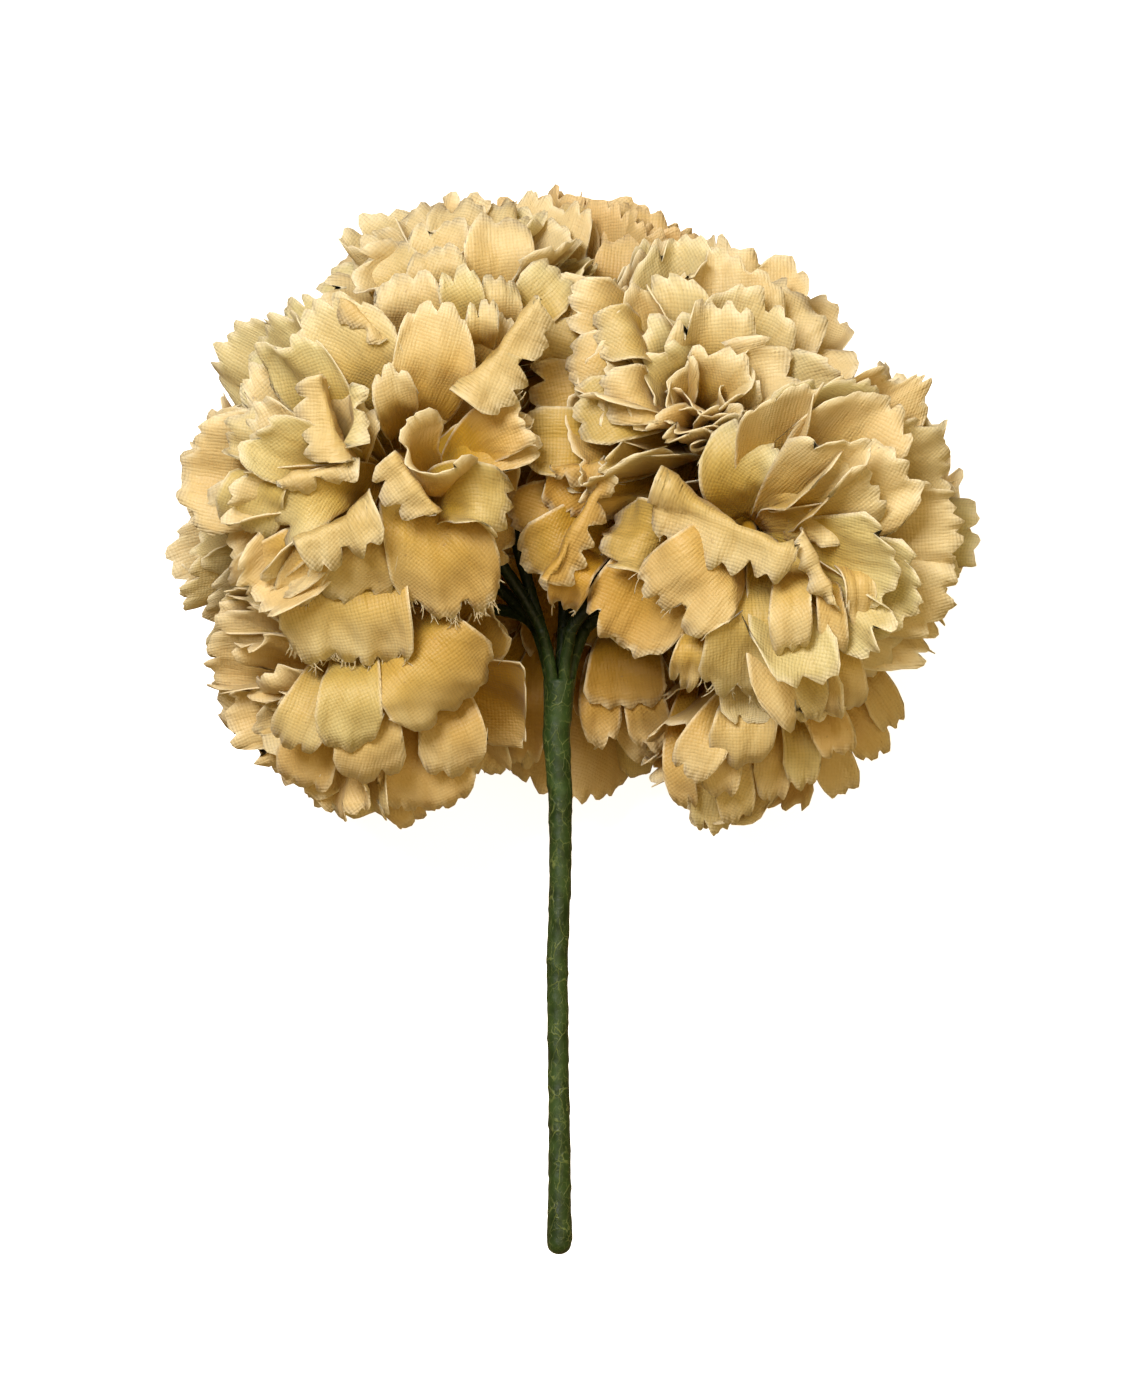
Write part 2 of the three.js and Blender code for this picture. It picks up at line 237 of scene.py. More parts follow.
# A folded petal rises from this depth below its fold, bends over between the next two heights
# beside it, and spreads little.
FOLD_DEPTH = 12
FOLD_BELOW = 1.6
FOLD_ABOVE = 0.5
FOLD_SPREADS = 0.12

# The weave's share of warp to weft, how far its threads drift, the fan of pleats, and the size of
# the cloth's blotches and of its relief, in metres
WARP_SHARE = 0.54
WEAVE_UNEVENNESS = 0.5
PLEATS = 7.0
PLEAT_DRIFT = 0.11
CLOTH_BLOTCH = 0.009
PLEAT_HEIGHT = 0.0007
THREAD_HEIGHT = 0.00008

# The tape's nets of veins, each by its scale, width and strength, how far they bend, and its
# blotches, relief and the height above the fork over which painted shade darkens it, in metres
VEINS = ((620.0, 0.04, 1.0), (1300.0, 0.05, 0.5))
VEIN_BEND = 0.0012
VEIN_HEIGHT = 0.00012
TAPE_BLOTCH = 0.003
FORK_SHADE_REACH = 0.009

# The wire's steel in its scratches and between them
WIRE_DARK = (0.4, 0.41, 0.4, 1)
WIRE_PALE = (0.6, 0.61, 0.6, 1)

# The floor and the room, as the bunch sees them and as the camera does
FLOOR_TO_BUNCH = (0.35, 0.27, 0.16, 1)
FLOOR_TO_CAMERA = (0.9, 0.9, 0.9, 1)
FLOOR_GLOW = 0.85
ROOM_TO_BUNCH = (1, 0.68, 0.18, 1)
ROOM_TO_CAMERA = (0.97, 0.97, 0.97, 1)
ROOM_LIGHT = 0.27

# Each lamp's name, place, width, power and colour, and where they aim, in metres
LAMPS = (
    ("Key", (-0.3, 0.45, 1.0), 0.4, 14.2, (1, 0.99, 1)),
    ("Fill", (0.3, -0.1, 1.0), 0.8, 4.0, (1, 0.82, 0.48)),
)
LAMPS_AIM = Vector((0, 0.03, 0.03))

# The picture's rows, the size of a pixel at the height of the blooms' upper petals, and the place
# in the middle of the picture, from the heart of the ball
PICTURE_ROWS = 1374
PIXEL = 0.12
PICTURE_MIDDLE = Vector((0.9, -20.6, 8))

# Distances from the heart of the ball between which the cloth comes out of its painted shade
# and lies open to the light
HOLLOW_RADIUS = 19
OPEN_RADIUS = 37


def bloom(name, base, faces, turn, size, crowded=(0, 360), wide=False, shade=0.0, side=None):
    """A bloom: where its petals gather, the way it faces, its turn about its own axis in degrees,
    its size beside the others, the sector, in degrees, that its rings of petals fill, whether it
    is wide open at its heart, how much painted shade darkens its cloth, and the side of the shaft
    that it keeps to."""
    facing = Vector(faces).normalized()
    return SimpleNamespace(
        name=name,
        base=Vector(base),
        facing=facing,
        middle=Vector(base) + facing * BLOOM_MIDDLE,
        turn=turn,
        size=size,
        crowded=crowded,
        wide=wide,
        shade=shade,
        side=side,
    )


# A bloom's shade darkens all of its cloth as painted shade
BLOOMS = [
    bloom("front_left", (-20, 6, 13), (-0.3, -0.28, 0.92), 55, 1.0, (100, 256), wide=True),
    bloom("front_right", (21.7, -1, 13), (0.12, -0.33, 0.92), 5, 1.06, (-92, 84), wide=True),
    bloom("upper_right", (14.5, 8.5, 4.5), (0.15, 0.36, 0.92), 0, 1.04, (29, 377)),
    bloom("upper_left", (-11, 17, 3), (-0.2, 0.82, 0.53), 25, 0.95, (-12, 220)),
    bloom("top_back", (1, 15.5, -8), (0.15, 0.8, -0.55), 5, 0.97, shade=1.0),
    bloom("right", (27.5, -2, -5), (0.93, -0.06, -0.35), 33, 0.95),
    bloom("lower_left", (-19, -15.5, -3), (-0.62, -0.55, 0.5), 50, 1.0, (95, 300), shade=0.3,
          side=(-1, 0, 0)),
    bloom("lower_right", (22.8, -16.3, -7), (0.6, -0.72, -0.3), 18, 0.9, (208, 385), shade=0.3,
          side=(1, 0, 0)),
    bloom("back", (3, -6, -16), (0.03, -0.38, -0.92), 8, 1.08, shade=0.5, side=(0, 0, -1)),
    bloom("left", (-24.5, -1, -9), (-0.88, 0.02, -0.45), 44, 1.0, shade=0.1),
]


class Ring(NamedTuple):
    """A ring of petals. Angles are in degrees, and lengths in millimetres."""

    number: int
    petals: int
    # The petals' length beside that of the outermost, and half of their spread
    reach: float
    half_angle: float
    # Their lean from the bloom's axis at the root and at the rim
    opening: float
    tip: float
    # How far up the bloom they start, their stagger as a share of a petal, and their rows of points
    root: float
    shift: float
    rows: int
    # How far behind the bloom they may hang
    slack: float = BACK_SLACK


COLLAR = [
    Ring(9, 6, 0.62, 30, 100, 142, -1.4, 0.3, 6, HEART_SLACK),
    Ring(8, 6, 0.8, 28, 84, 122, -0.7, 0.8, 7, HEART_SLACK),
]
CLOSED_RINGS = COLLAR + [
    Ring(0, 8, 1.0, 23, 62, 100, 0.0, 0.0, 10),
    Ring(1, 8, 0.96, 22, 52, 86, 1.0, 0.5, 10),
    Ring(2, 8, 0.91, 21, 42, 73, 2.0, 0.25, 10),
    Ring(3, 7, 0.85, 21, 32, 61, 3.0, 0.6, 9),
    Ring(4, 6, 0.77, 22, 23, 49, 4.0, 0.1, 9),
    Ring(5, 6, 0.69, 23, 14, 38, 5.0, 0.4, 8),
    Ring(6, 4, 0.58, 27, 6, 26, 5.8, 0.7, 8),
    Ring(7, 3, 0.46, 30, 2, 15, 6.4, 0.2, 8),
]
OPEN_RINGS = COLLAR + [
    Ring(0, 8, 1.0, 23, 70, 102, 0.0, 0.0, 10),
    Ring(1, 8, 0.96, 22, 62, 96, 0.8, 0.5, 10),
    Ring(2, 10, 0.92, 18, 54, 84, 1.8, 0.25, 10),
    Ring(3, 10, 0.86, 17, 44, 74, 2.8, 0.6, 10),
    Ring(4, 9, 0.8, 17, 34, 62, 3.8, 0.1, 10),
]


def laid(root, over, left, right, bulge=1.5, **shape):
    """A listed petal, in millimetres from the heart of the ball: where it is gathered, the
    point that it bends over, the left and right ends of its rim as seen from its root, how far its
    rim bulges beyond them, and the folds that differ from an ordinary petal's."""
    root, over, left, right = (np.array(place, float) for place in (root, over, left, right))
    tip = (left + right) / 2
    tip = tip + (tip - over) / np.linalg.norm(tip - over) * bulge
    return SimpleNamespace(guide=[root, over, tip], across=right - left, bulge=bulge, shape=shape)


def lobe(root, over, left, right, bulge=1.5, ruffle=14, tooth_depth=0.7):
    """A listed petal that is nearly flat, with shallow, rounded teeth, like a scale."""
    return laid(root, over, left, right, bulge, ruffle=ruffle, tooth_depth=tooth_depth)


def folded(fold_left, fold_right, rim_left, rim_right, bulge=0.4, **shape):
    """A petal that comes up from the depth of its bloom, folds over a line and hangs down from it
    to its rim. The ends of the line and of the rim are left and right as seen from its root."""
    fold_left, fold_right, left, right = (
        np.array(place, float) for place in (fold_left, fold_right, rim_left, rim_right)
    )
    fold = (fold_left + fold_right) / 2
    tip = (left + right) / 2
    tip = tip + (tip - fold) / np.linalg.norm(tip - fold) * bulge
    rise = [fold - (0, 0, FOLD_DEPTH), fold - (0, 0, FOLD_BELOW), fold + (0, 0, FOLD_ABOVE)]
    guide = [*rise, fold * 0.6 + tip * 0.4, tip]
    across = (fold_right - fold_left + right - left) / 2
    return SimpleNamespace(
        guide=guide, across=across, bulge=bulge, shape={"spreads": FOLD_SPREADS, **shape}
    )


# The petals that are seen plainly from the front, each bloom's from its back to its front
LAID_PETALS = {
    "front_left": [
        laid((-14, 12, 12), (-9, 19, 21), (-12, 24.4, 22), (-4.6, 20.6, 21), 1.4),
        laid((-24, 14, 10), (-29, 21, 18), (-33.4, 22, 16), (-29, 25.4, 18), 2.6, tooth_depth=1.2),
        laid((-19.5, 9, 15), (-23, 15.5, 26.5), (-33, 20, 26), (-20.4, 22, 28.4), 4.6,
             cup=4, ruffle=14, spreads=0.55),
        laid((-17.5, 9, 15), (-15.6, 15, 27), (-21, 19.4, 28), (-9.8, 21.4, 29), 4.4,
             cup=20, lip=14, ruffle=30, spreads=0.55),
        folded((-26.4, 25.6, 28.6), (-20.6, 20, 29.6), (-27.4, 24, 28), (-21.8, 18.8, 29),
               ruffle=10, tooth_depth=0.7),
        laid((-26, 7, 14), (-32, 8.5, 24), (-38.3, 10.4, 22), (-32.4, 13.4, 25), 1.8, cup=16),
        laid((-26, 6, 15), (-31, 6.5, 26), (-34.6, 3.2, 23), (-39.5, 9.4, 22), 1.2, cup=10),
        laid((-25, 6, 15), (-26, 9, 22), (-28.5, 15.8, 25), (-21.3, 10.5, 26), 1.4, cup=10),
        laid((-19.8, 9, 16), (-19.8, 12.4, 27), (-23, 14.6, 29), (-17.6, 17.4, 29.4), 1.0, cup=22),
        folded((-2.4, 24.8, 28), (-13.2, 13.4, 31), (0.2, 22.8, 26.6), (-9.4, 11.2, 29.6),
               bulge=1.2, ruffle=8, tooth_depth=1.4),
        laid((-17, 6, 15), (-10, 8, 24), (-3.6, 12.4, 23), (-4.6, 4.4, 24), 1.4, cup=18),
        laid((-19, 4, 15), (-15.4, -1.5, 25.5), (-6, -9, 20), (-20.8, -9.2, 21), 4.2,
             ruffle=30, waves=2.2, lip=0, ripple=26, ripples=6, frayed=70),
        laid((-17.5, 1, 17), (-12, 2.5, 28), (-9, 4.2, 26), (-5.8, -5.2, 26), 1.0, roll_right=60),
        laid((-25, -2, 10), (-26, -9, 21.5), (-16.6, -16.8, 17), (-34.6, -16.6, 15), 1.8,
             ruffle=30, waves=2.6, ripple=24, ripples=6, frayed=60, tooth_depth=0.9),
        laid((-22, 1, 14), (-24, -4, 25), (-20.6, -8.9, 21), (-31, -10.4, 20), 1.8,
             cup=-6, ruffle=14),
        laid((-25, 0, 13), (-30, -3, 25), (-36.2, -9.2, 17), (-41, -6.6, 15), 1.8),
        laid((-24, 0, 14), (-28, -3, 26), (-29.7, -9.8, 20), (-35, -9.2, 18), 1.4, frayed=8),
        laid((-29, 5, 14), (-36, 4.5, 27), (-33.4, -1.2, 22), (-41.8, -1.4, 20), 1.4,
             ruffle=8, ripple=8),
        laid((-22, 4.5, 16), (-28, 2.5, 28), (-34.6, -5.2, 22), (-33.8, 2.4, 24), 0.6, cup=12),
        folded((-23, 2.8, 30), (-30.6, -5.2, 27), (-20.7, -2.2, 29), (-31, -7, 25.6),
               bulge=1.6, tooth_depth=1.4),
        folded((-25.6, 5.6, 29), (-28.6, 15.8, 29), (-28.4, 4.4, 28.5), (-32, 15.6, 27),
               bulge=1.2, tooth_depth=1.4, ruffle=8, waves=2.4),
        folded((-24.6, 15.4, 29), (-25, 6.8, 29), (-23.6, 15, 28.4), (-23, 7.4, 28.4),
               tooth_depth=0.7),
        folded((-24.2, 6.2, 30), (-33.6, 3.2, 27), (-23.2, 4.2, 29.4), (-33.4, 2.2, 26),
               bulge=0.8, ruffle=20),
        laid((-14.5, 4, 17), (-9.5, 9.5, 25), (-6.6, 14, 28.6), (-4.2, 6.4, 27.4), 1.2,
             cup=10, ruffle=30, frayed=10, tooth_depth=1.3),
        laid((-15, 2, 18), (-18.4, 3.6, 26), (-17, 5.2, 31), (-18.2, 6.8, 30.7), 0.8,
             half_width=9.2, cup=125, across=(-0.55, 0.81, -0.16), lip=50, ruffle=6, ripple=6,
             spreads=0.6, tooth_depth=0.7),
        folded((-15.2, -0.6, 28.4), (-19.4, 7.4, 31), (-17.6, -2.8, 27.4), (-23.4, 4.4, 29.4),
               bulge=0.8, ruffle=24, waves=2.2, tooth_depth=1.5),
    ],
    "front_right": [
        laid((21.8, -0.6, 16), (19.5, 4.5, 26), (16.6, 7, 25), (26.6, 8.4, 27), 3.2,
             cup=26, lip=26),
        laid((22, -1, 16), (25.5, 3.4, 26), (25.6, 7.2, 25), (32.2, 1, 26), 2.6, cup=16),
        laid((23, -1.5, 16), (28.5, -0.6, 26), (31, 1.6, 25), (34.8, -4.2, 24), 0.8,
             cup=6, roll_left=60),
        laid((20, -3, 14), (12, -6, 22), (13.6, -15.6, 19), (0.8, -11.6, 18), 2.8,
             cup=6, ripple=26, ripples=6),
        laid((18, -3, 15), (11, -2.6, 25), (1.4, -6.2, 21), (9.4, 0.2, 22), 1.2, cup=14),
        laid((5, -4, 14), (1, -6, 24), (2.4, -12.6, 18), (-2.8, -10.2, 19), 0.8,
             ruffle=50, waves=2.4, frayed=8),
        laid((22, -6, 15), (22, -12, 27), (27.6, -20, 18), (15.4, -19, 19), 3.2,
             ruffle=14, frayed=20),
        laid((27, -12, 13), (29, -18, 22), (31.2, -24.4, 16), (26.4, -23, 17), 1.6),
        laid((30, -10, 13), (33, -17, 22), (36.4, -23.2, 14), (31, -23.4, 15), 1.0),
        laid((17, -12, 15), (15, -16, 23), (16.4, -20.6, 18), (11.7, -19.4, 17), 1.2,
             ruffle=50, waves=2.6),
        laid((27, -5, 16), (26.4, -9, 29), (29.2, -15.4, 26.4), (23.6, -16.6, 26), 1.0,
             cup=-4, ruffle=34),
        laid((30, -7, 16), (31, -9, 28), (33.6, -16.6, 23), (29.9, -15.4, 24), 1.0, ruffle=40),
        laid((32, -5, 15), (34.5, -7, 28), (37, -13, 22), (32.6, -13.6, 24), 1.2,
             ruffle=60, waves=2.6),
        folded((32.4, -11.6, 28), (27.4, -2, 30), (30.8, -12.8, 27.4), (26, -2.4, 29),
               ruffle=24, waves=2.6),
        laid((21, -4, 17), (17.6, -6, 29), (16, -16.6, 23.6), (9.2, -5.2, 25.4), 1.2,
             cup=-8, ruffle=26, waves=1.6, frayed=8, tooth_depth=1.3),
        folded((5.4, 6.6, 26), (-2.4, -8.4, 22), (7, 5.2, 25.4), (0.8, -9.8, 21.4),
               bulge=0.6, skew=0.09, ruffle=20, tooth_depth=1.4),
        folded((27, -7.2, 29.6), (10.4, 6.2, 28.2), (24.4, -11.6, 28.6), (10.8, 0.8, 26.8),
               bulge=1.3, ruffle=26, waves=2.6, skew=-0.06, tooth_depth=1.4, frayed=5),
    ],
    "upper_right": [
        lobe((8, 4, 8), (1.5, 1.6, 17.5), (-5.4, -3.2, 15.6), (-6.8, 3.4, 15.6), 1.2,
             ruffle=12, tooth_depth=0.6),
        lobe((8, 2, 9), (1.5, -2.4, 19.5), (-1.2, -9.8, 17), (-6.2, -2.2, 17), 1.4,
             ruffle=12, tooth_depth=0.6),
        laid((-1, 8, 5), (-3, 3, 15), (2, -1, 14.4), (-3.4, -1.4, 13.4), 1.2),
        lobe((10, 20, 8), (3.4, 24, 18.6), (-2.2, 20.6, 17), (-1.4, 29, 16.4), 1.6),
        lobe((9, 18, 9), (3, 19, 19.8), (-3, 15.6, 18.4), (-2.4, 24, 18.2), 1.6),
        lobe((9, 13, 10), (3, 14, 20.6), (-3.2, 10.2, 19), (-3.2, 18.6, 19), 1.4),
        laid((7, 8, 11), (2, 6, 20.6), (2.2, -0.8, 18), (-4, 1.8, 17.6), 1.0, tooth_depth=0.8),
        lobe((10, 9, 11), (3.4, 8.6, 22), (-3.6, 3.8, 20.4), (-4.2, 12.6, 20), 1.6, ruffle=12),
        folded((5.8, 5.8, 24.4), (-2.2, 5.4, 22), (4.6, 4.2, 24), (-1.6, 3.4, 21.6),
               bulge=1.0, ruffle=10),
        lobe((11, 20, 11), (6, 24, 21), (2.6, 20.6, 20.6), (0.6, 28.4, 20), 1.4),
        lobe((11, 16, 12), (6.4, 18, 23), (2.4, 13.6, 22.4), (0.2, 21.4, 22), 1.4),
        lobe((12, 12, 13), (7.4, 12.4, 24.6), (3.8, 7.4, 23.6), (0.6, 15.6, 23), 1.4),
        lobe((12, 18, 13), (8.4, 21.6, 24), (5.4, 17.4, 23.6), (3, 24.6, 23), 1.2,
             ruffle=20, tooth_depth=0.8),
        lobe((12, 13, 14), (9.6, 14, 26.4), (7.4, 9.4, 25.6), (4.2, 16.6, 25), 1.4),
    ],
    "lower_left": [
        lobe((-20, -18, -2), (-17, -28, 7), (-10.6, -32.6, 3), (-22.6, -35.6, 2), 2.0,
             tooth_depth=1.2),
        lobe((-26, -18, 0), (-30, -26, 8), (-28, -32.8, 4), (-35.6, -30.6, 3), 1.4),
        laid((-18, -17, 2), (-13.6, -24, 11), (-9, -28.6, 7), (-17.4, -31.6, 7), 1.4, ruffle=14),
        lobe((-24, -17, 4), (-23.4, -24.6, 15), (-19, -29.6, 11), (-27.6, -32, 10), 1.6),
        lobe((-27, -16, 5), (-30, -22, 15), (-29.4, -28.6, 12), (-36, -26, 11), 1.2,
             tooth_depth=0.8),
        lobe((-25, -14, 6), (-25.4, -20, 18), (-21.6, -25.8, 15), (-30, -28, 14), 1.6, ruffle=20),
        laid((-24, -13, 6), (-17.4, -17, 20), (-7.4, -16.4, 15), (-19, -27, 13.4), 3.2,
             cup=-6, ruffle=10, tooth_depth=0.8),
    ],
    "lower_right": [
        lobe((20, -20, -8), (17, -30, -1), (21, -37.6, -5), (15.4, -37, -5), 1.6,
             ruffle=20, tooth_depth=1.1),
        laid((16, -18, -6), (13, -28, 2), (16.6, -35, -2), (12.6, -34, -2), 1.4),
        lobe((28, -20, -6), (32, -28, 0), (36, -31.4, -3), (31, -34.2, -3), 1.0, tooth_depth=0.6),
        lobe((30, -18, -5), (36, -24, 1), (39.6, -27, -2), (35.4, -30.4, -2), 1.0, tooth_depth=0.6),
        lobe((30, -14, -4), (37, -19, 2), (40.6, -22.6, 0), (38.6, -27, 0), 0.8, tooth_depth=0.6),
        lobe((21, -20, -4), (20, -29, 5), (23.4, -36, 1), (18, -36, 1), 1.4,
             ruffle=20, tooth_depth=0.8),
        lobe((24, -20, -3), (25, -28, 5), (27.4, -33, 2), (22.6, -34, 2), 1.6, ruffle=20),
        lobe((26, -19, -2), (28.6, -26, 7), (31.2, -31.4, 4), (26.2, -32, 4), 1.6, ruffle=16),
        lobe((21, -19, 0), (19, -26.6, 9), (21.4, -33, 6), (15.8, -33, 6), 1.2,
             ruffle=26, tooth_depth=0.6),
        lobe((25, -18, 1), (31, -23, 10), (35, -26.4, 8), (30.4, -29.6, 8), 1.2,
             ruffle=20, tooth_depth=0.6),
        lobe((24, -18, 2), (18, -25, 12), (16.6, -33, 10), (13.6, -27.4, 10), 1.6,
             ruffle=10, tooth_depth=0.6),
        lobe((24, -17, 3), (22, -23, 14), (24.8, -28.6, 11), (16.4, -29.4, 11), 1.6,
             ruffle=26, tooth_depth=0.6),
    ],
    "upper_left": [
        laid((-12, 22, 2), (-13, 33, 12), (-16.5, 36.4, 9), (-8, 37.6, 9), 1.4, tooth_depth=1.1),
        laid((-8, 22, 2), (-8, 33, 12), (-10, 37.2, 9), (-3, 36.2, 8), 1.4, tooth_depth=1.1),
        lobe((-16, 20, 6), (-20, 28, 16), (-25.5, 29.6, 13), (-18, 32.6, 14), 1.2, tooth_depth=0.8),
        lobe((-14, 21, 5), (-15, 30, 16), (-18.5, 33.6, 14), (-10.6, 35, 15), 1.4, tooth_depth=0.9),
        lobe((-9, 21, 6), (-8, 29, 18), (-12, 34.2, 16), (-3, 33.6, 15), 1.6, tooth_depth=0.8),
        lobe((-8, 21, 10), (-3, 25, 20), (-3.6, 31, 18), (1, 25.4, 18), 1.4,
             ruffle=16, tooth_depth=0.9),
        lobe((-14, 20, 9), (-15, 27, 20), (-19.6, 29.8, 19), (-11.6, 31.2, 19.6), 1.2,
             tooth_depth=0.8),
        lobe((-15, 18, 12), (-18, 23.5, 23), (-23.4, 26.6, 22), (-15, 27.8, 23), 0.8,
             tooth_depth=0.6),
        lobe((-11, 18, 13), (-12, 24, 24), (-15.2, 28, 23.6), (-9.4, 28.2, 24), 0.8,
             tooth_depth=0.8),
        lobe((-9, 18, 12), (-7.6, 23.6, 23), (-10.2, 27.6, 23), (-4.4, 27.4, 21.6), 0.8,
             ruffle=30, tooth_depth=1.2),
        laid((-10, 17, 14), (-9.8, 21.4, 25), (-12, 24.2, 25), (-7.6, 24.6, 24.8), 0.8),
    ],
    "top_back": [
        lobe((2, 18, -8), (0, 30, 1), (-4, 36.6, 0), (4.6, 37, 0), 1.4, ruffle=16, tooth_depth=0.8),
        lobe((4, 18, -8), (8, 30, 1), (4.6, 37, 0), (13, 36.4, 0), 1.6, ruffle=16, tooth_depth=0.8),
        lobe((6, 18, -8), (14.6, 28, 1), (11.6, 34.8, 0), (19.4, 32, -1), 1.4,
             ruffle=16, tooth_depth=0.8),
        lobe((4, 18, -4), (7, 26.5, 9), (3, 32, 7), (11.4, 32.6, 7), 1.4,
             ruffle=16, tooth_depth=0.8),
        lobe((6, 18, -4), (13, 25.6, 8), (10.4, 31.4, 6), (18, 29, 5), 1.4,
             ruffle=16, tooth_depth=0.8),
    ],
    "back": [
        laid((5, -10, -16), (9, -20, -6), (16.6, -26.4, -11), (7, -30.4, -13), 1.6),
        laid((-3, -10, -16), (-5, -20, -6), (-2.6, -28, -12), (-9.6, -27, -12), 1.6),
        lobe((10, -14, -12), (13.4, -21, -6), (16.8, -25.4, -9), (11.4, -28.2, -9), 1.6, ruffle=30),
        lobe((8, -14, -12), (9.4, -21, -3), (13.4, -25.6, -6), (8, -28.2, -6), 1.6,
             ruffle=34, tooth_depth=0.6),
        lobe((5, -14, -12), (4, -20, -3), (7.2, -25.6, -5), (1.6, -26.8, -5), 1.8,
             ruffle=34, tooth_depth=0.6),
        lobe((-4, -13, -12), (-8.5, -22, -5), (-7, -30.2, -9), (-12.4, -29.6, -8), 1.4,
             ruffle=30, tooth_depth=1.3),
        lobe((-2, -13, -12), (-4.5, -21, -5), (-2, -28.6, -8), (-8, -29.2, -8), 1.4,
             ruffle=34, tooth_depth=1.3),
        lobe((8, -12, -10), (7.4, -17, -1.6), (12.4, -22.6, -3.6), (1.9, -22.8, -3.6), 0.8,
             ruffle=10, tooth_depth=0.6),
    ],
}

# Planes that keep the ringed petals of the front blooms above the fork, so that its wires show,
# each as the way it faces and a point on it
FORK_WALLS = {
    "front_left": [((-0.35, 0.94, 0), (-4, -13.5, 0))],
    "front_right": [((0.55, 0.83, 0), (4, -15.8, 0))],
}

# Each branch's angle round the shaft, in degrees, and the two blooms that it carries
BRANCHES = {
    "branch_front_left": (-45, ("front_left", "upper_left")),
    "branch_front_right": (27, ("front_right", "upper_right")),
    "branch_right": (99, ("right", "lower_right")),
    "branch_back": (171, ("top_back", "back")),
    "branch_left": (-117, ("left", "lower_left")),
}


def heart_place():
    """Where the heart of the ball of blooms lies in the frame, in millimetres."""
    low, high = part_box("stem_shaft")
    middle = (Vector(low) + Vector(high)) / 2 / MM
    return Vector((middle.x - STEM_X, high[1] / MM - FORK_Y, middle.z))


HEART = heart_place()


def draw(number):
    """A repeatable draw from 0 to 1 for a whole number."""
    x = math.sin(number * 12.9898 + 4.1414) * 43758.5453
    return x - math.floor(x)


def about(seed, step):
    """A repeatable draw from -1 to 1."""
    return 2 * draw(seed + step) - 1


def smooth(low, high, x):
    """A rise from 0 at low to 1 at high without corners."""
    share = np.clip((x - low) / (high - low), 0, 1)
    return share * share * (3 - 2 * share)


def drawn(folds, seed):
    """The folds of a table, each drawn about its middle."""
    return {
        name: middle + reach * about(seed, step) for name, (middle, reach, step) in folds.items()
    }


def ordinary_petal(settings, flower, number, band, index):
    """One petal of a ring, drawn about its ring's shape. The same numbers give the same petal."""
    seed = number * 1000 + band.number * 90 + index * 10
    share = (index + band.shift) / band.petals
    rolled = 1 if band.slack == BACK_SLACK else COLLAR_ROLL
    stray = SimpleNamespace(**drawn(RING_STRAYS, seed))
    length = settings.petal_length / MM * flower.size * band.reach * stray.length
    half_angle = math.radians(band.half_angle * stray.spread)
    return SimpleNamespace(
        seed=seed,
        spine=ring_spine,
        azimuth=flower.turn + 360 * share + stray.azimuth,
        length=length,
        half_width=length * math.sin(half_angle),
        arch=ROUND_RIM - math.cos(half_angle),
        opening=band.opening + stray.opening,
        tip=band.tip + stray.tip,
        lip=RING_LIP * about(seed, 14) * rolled,
        roll_left=MOST_ROLLED * draw(seed + 15) ** 4 * rolled,
        roll_right=MOST_ROLLED * draw(seed + 16) ** 4 * rolled,
        root=band.root,
        rows=band.rows,
        spreads=0.8,
        tooth_depth=1.0,
        tooth_columns=4,
        frayed=0,
        slack=band.slack,
        layer=RING_GAP * band.number + PETAL_GAP * (index % 2),
        **drawn(RING_FOLDS, seed),
    )


def laid_petal(number, plan, index):
    """A listed petal, with its smaller folds drawn."""
    seed = number * 1000 + 905 + index * 7
    petal = SimpleNamespace(
        seed=seed,
        spine=laid_spine,
        curve=curve_through(plan.guide),
        across=plan.across,
        half_width=np.linalg.norm(plan.across) / 2,
        curl=0,
        ruffle=24,
        roll_left=0,
        roll_right=0,
        rows=16,
        spreads=0.42,
        skew=0,
        tooth_depth=1.0,
        tooth_columns=6,
        frayed=0,
        slack=None,
        **drawn(LAID_FOLDS, seed),
    )
    petal.__dict__.update(plan.shape)
    petal.across = np.array(petal.across, float)
    petal.length = np.sum(np.linalg.norm(np.diff(petal.curve, axis=0), axis=1))
    petal.arch = plan.bulge / petal.length
    return petal


ANGLES = (
    "azimuth",
    "opening",
    "tip",
    "curl",
    "cup",
    "twist",
    "ruffle",
    "phase",
    "ripple",
    "lip",
    "roll_left",
    "roll_right",
)


def petals_of(settings, flower, number):
    """Every petal of a bloom, with its teeth. Rings fill the bloom's crowded sector, and the
    collar behind them goes all the way round."""
    start, end = flower.crowded
    rings = OPEN_RINGS if flower.wide else CLOSED_RINGS
    petals = [
        ordinary_petal(settings, flower, number, band, index)
        for band in rings
        for index in range(band.petals)
    ]
    petals = [
        petal
        for petal in petals
        if petal.slack == HEART_SLACK or (petal.azimuth - start) % 360 < end - start
    ]
    plans = LAID_PETALS.get(flower.name, [])
    petals += [laid_petal(number, plan, index) for index, plan in enumerate(plans)]
    for petal in petals:
        for name in ANGLES:
            if hasattr(petal, name):
                setattr(petal, name, math.radians(getattr(petal, name)))
        teeth = round(2 * petal.half_width / (settings.tooth_width / MM))
        petal.teeth = teeth_of(petal, max(3, teeth))
        petal.tooth_depth *= settings.tooth_depth / MM
        petal.columns = petal.tooth_columns * len(petal.teeth)
    return petals


def teeth_of(petal, count):
    """The teeth of a petal's cut rim: the middle, height and bluntness of each."""
    teeth = []
    for k in range(count):
        tooth = SimpleNamespace(**drawn(TOOTH_DRAWS, petal.seed * 3 + k * 17))
        tooth.middle = 2 * (k + 0.5 + tooth.place) / count - 1
        teeth.append(tooth)
    return teeth


def rim_reach(petal, t):
    """How far the cloth reaches at t, from -1 to 1 across the petal, as a share of its length."""
    return 1 - petal.arch * t * t - CORNER_DROP * np.abs(t) ** 6 + petal.skew * t


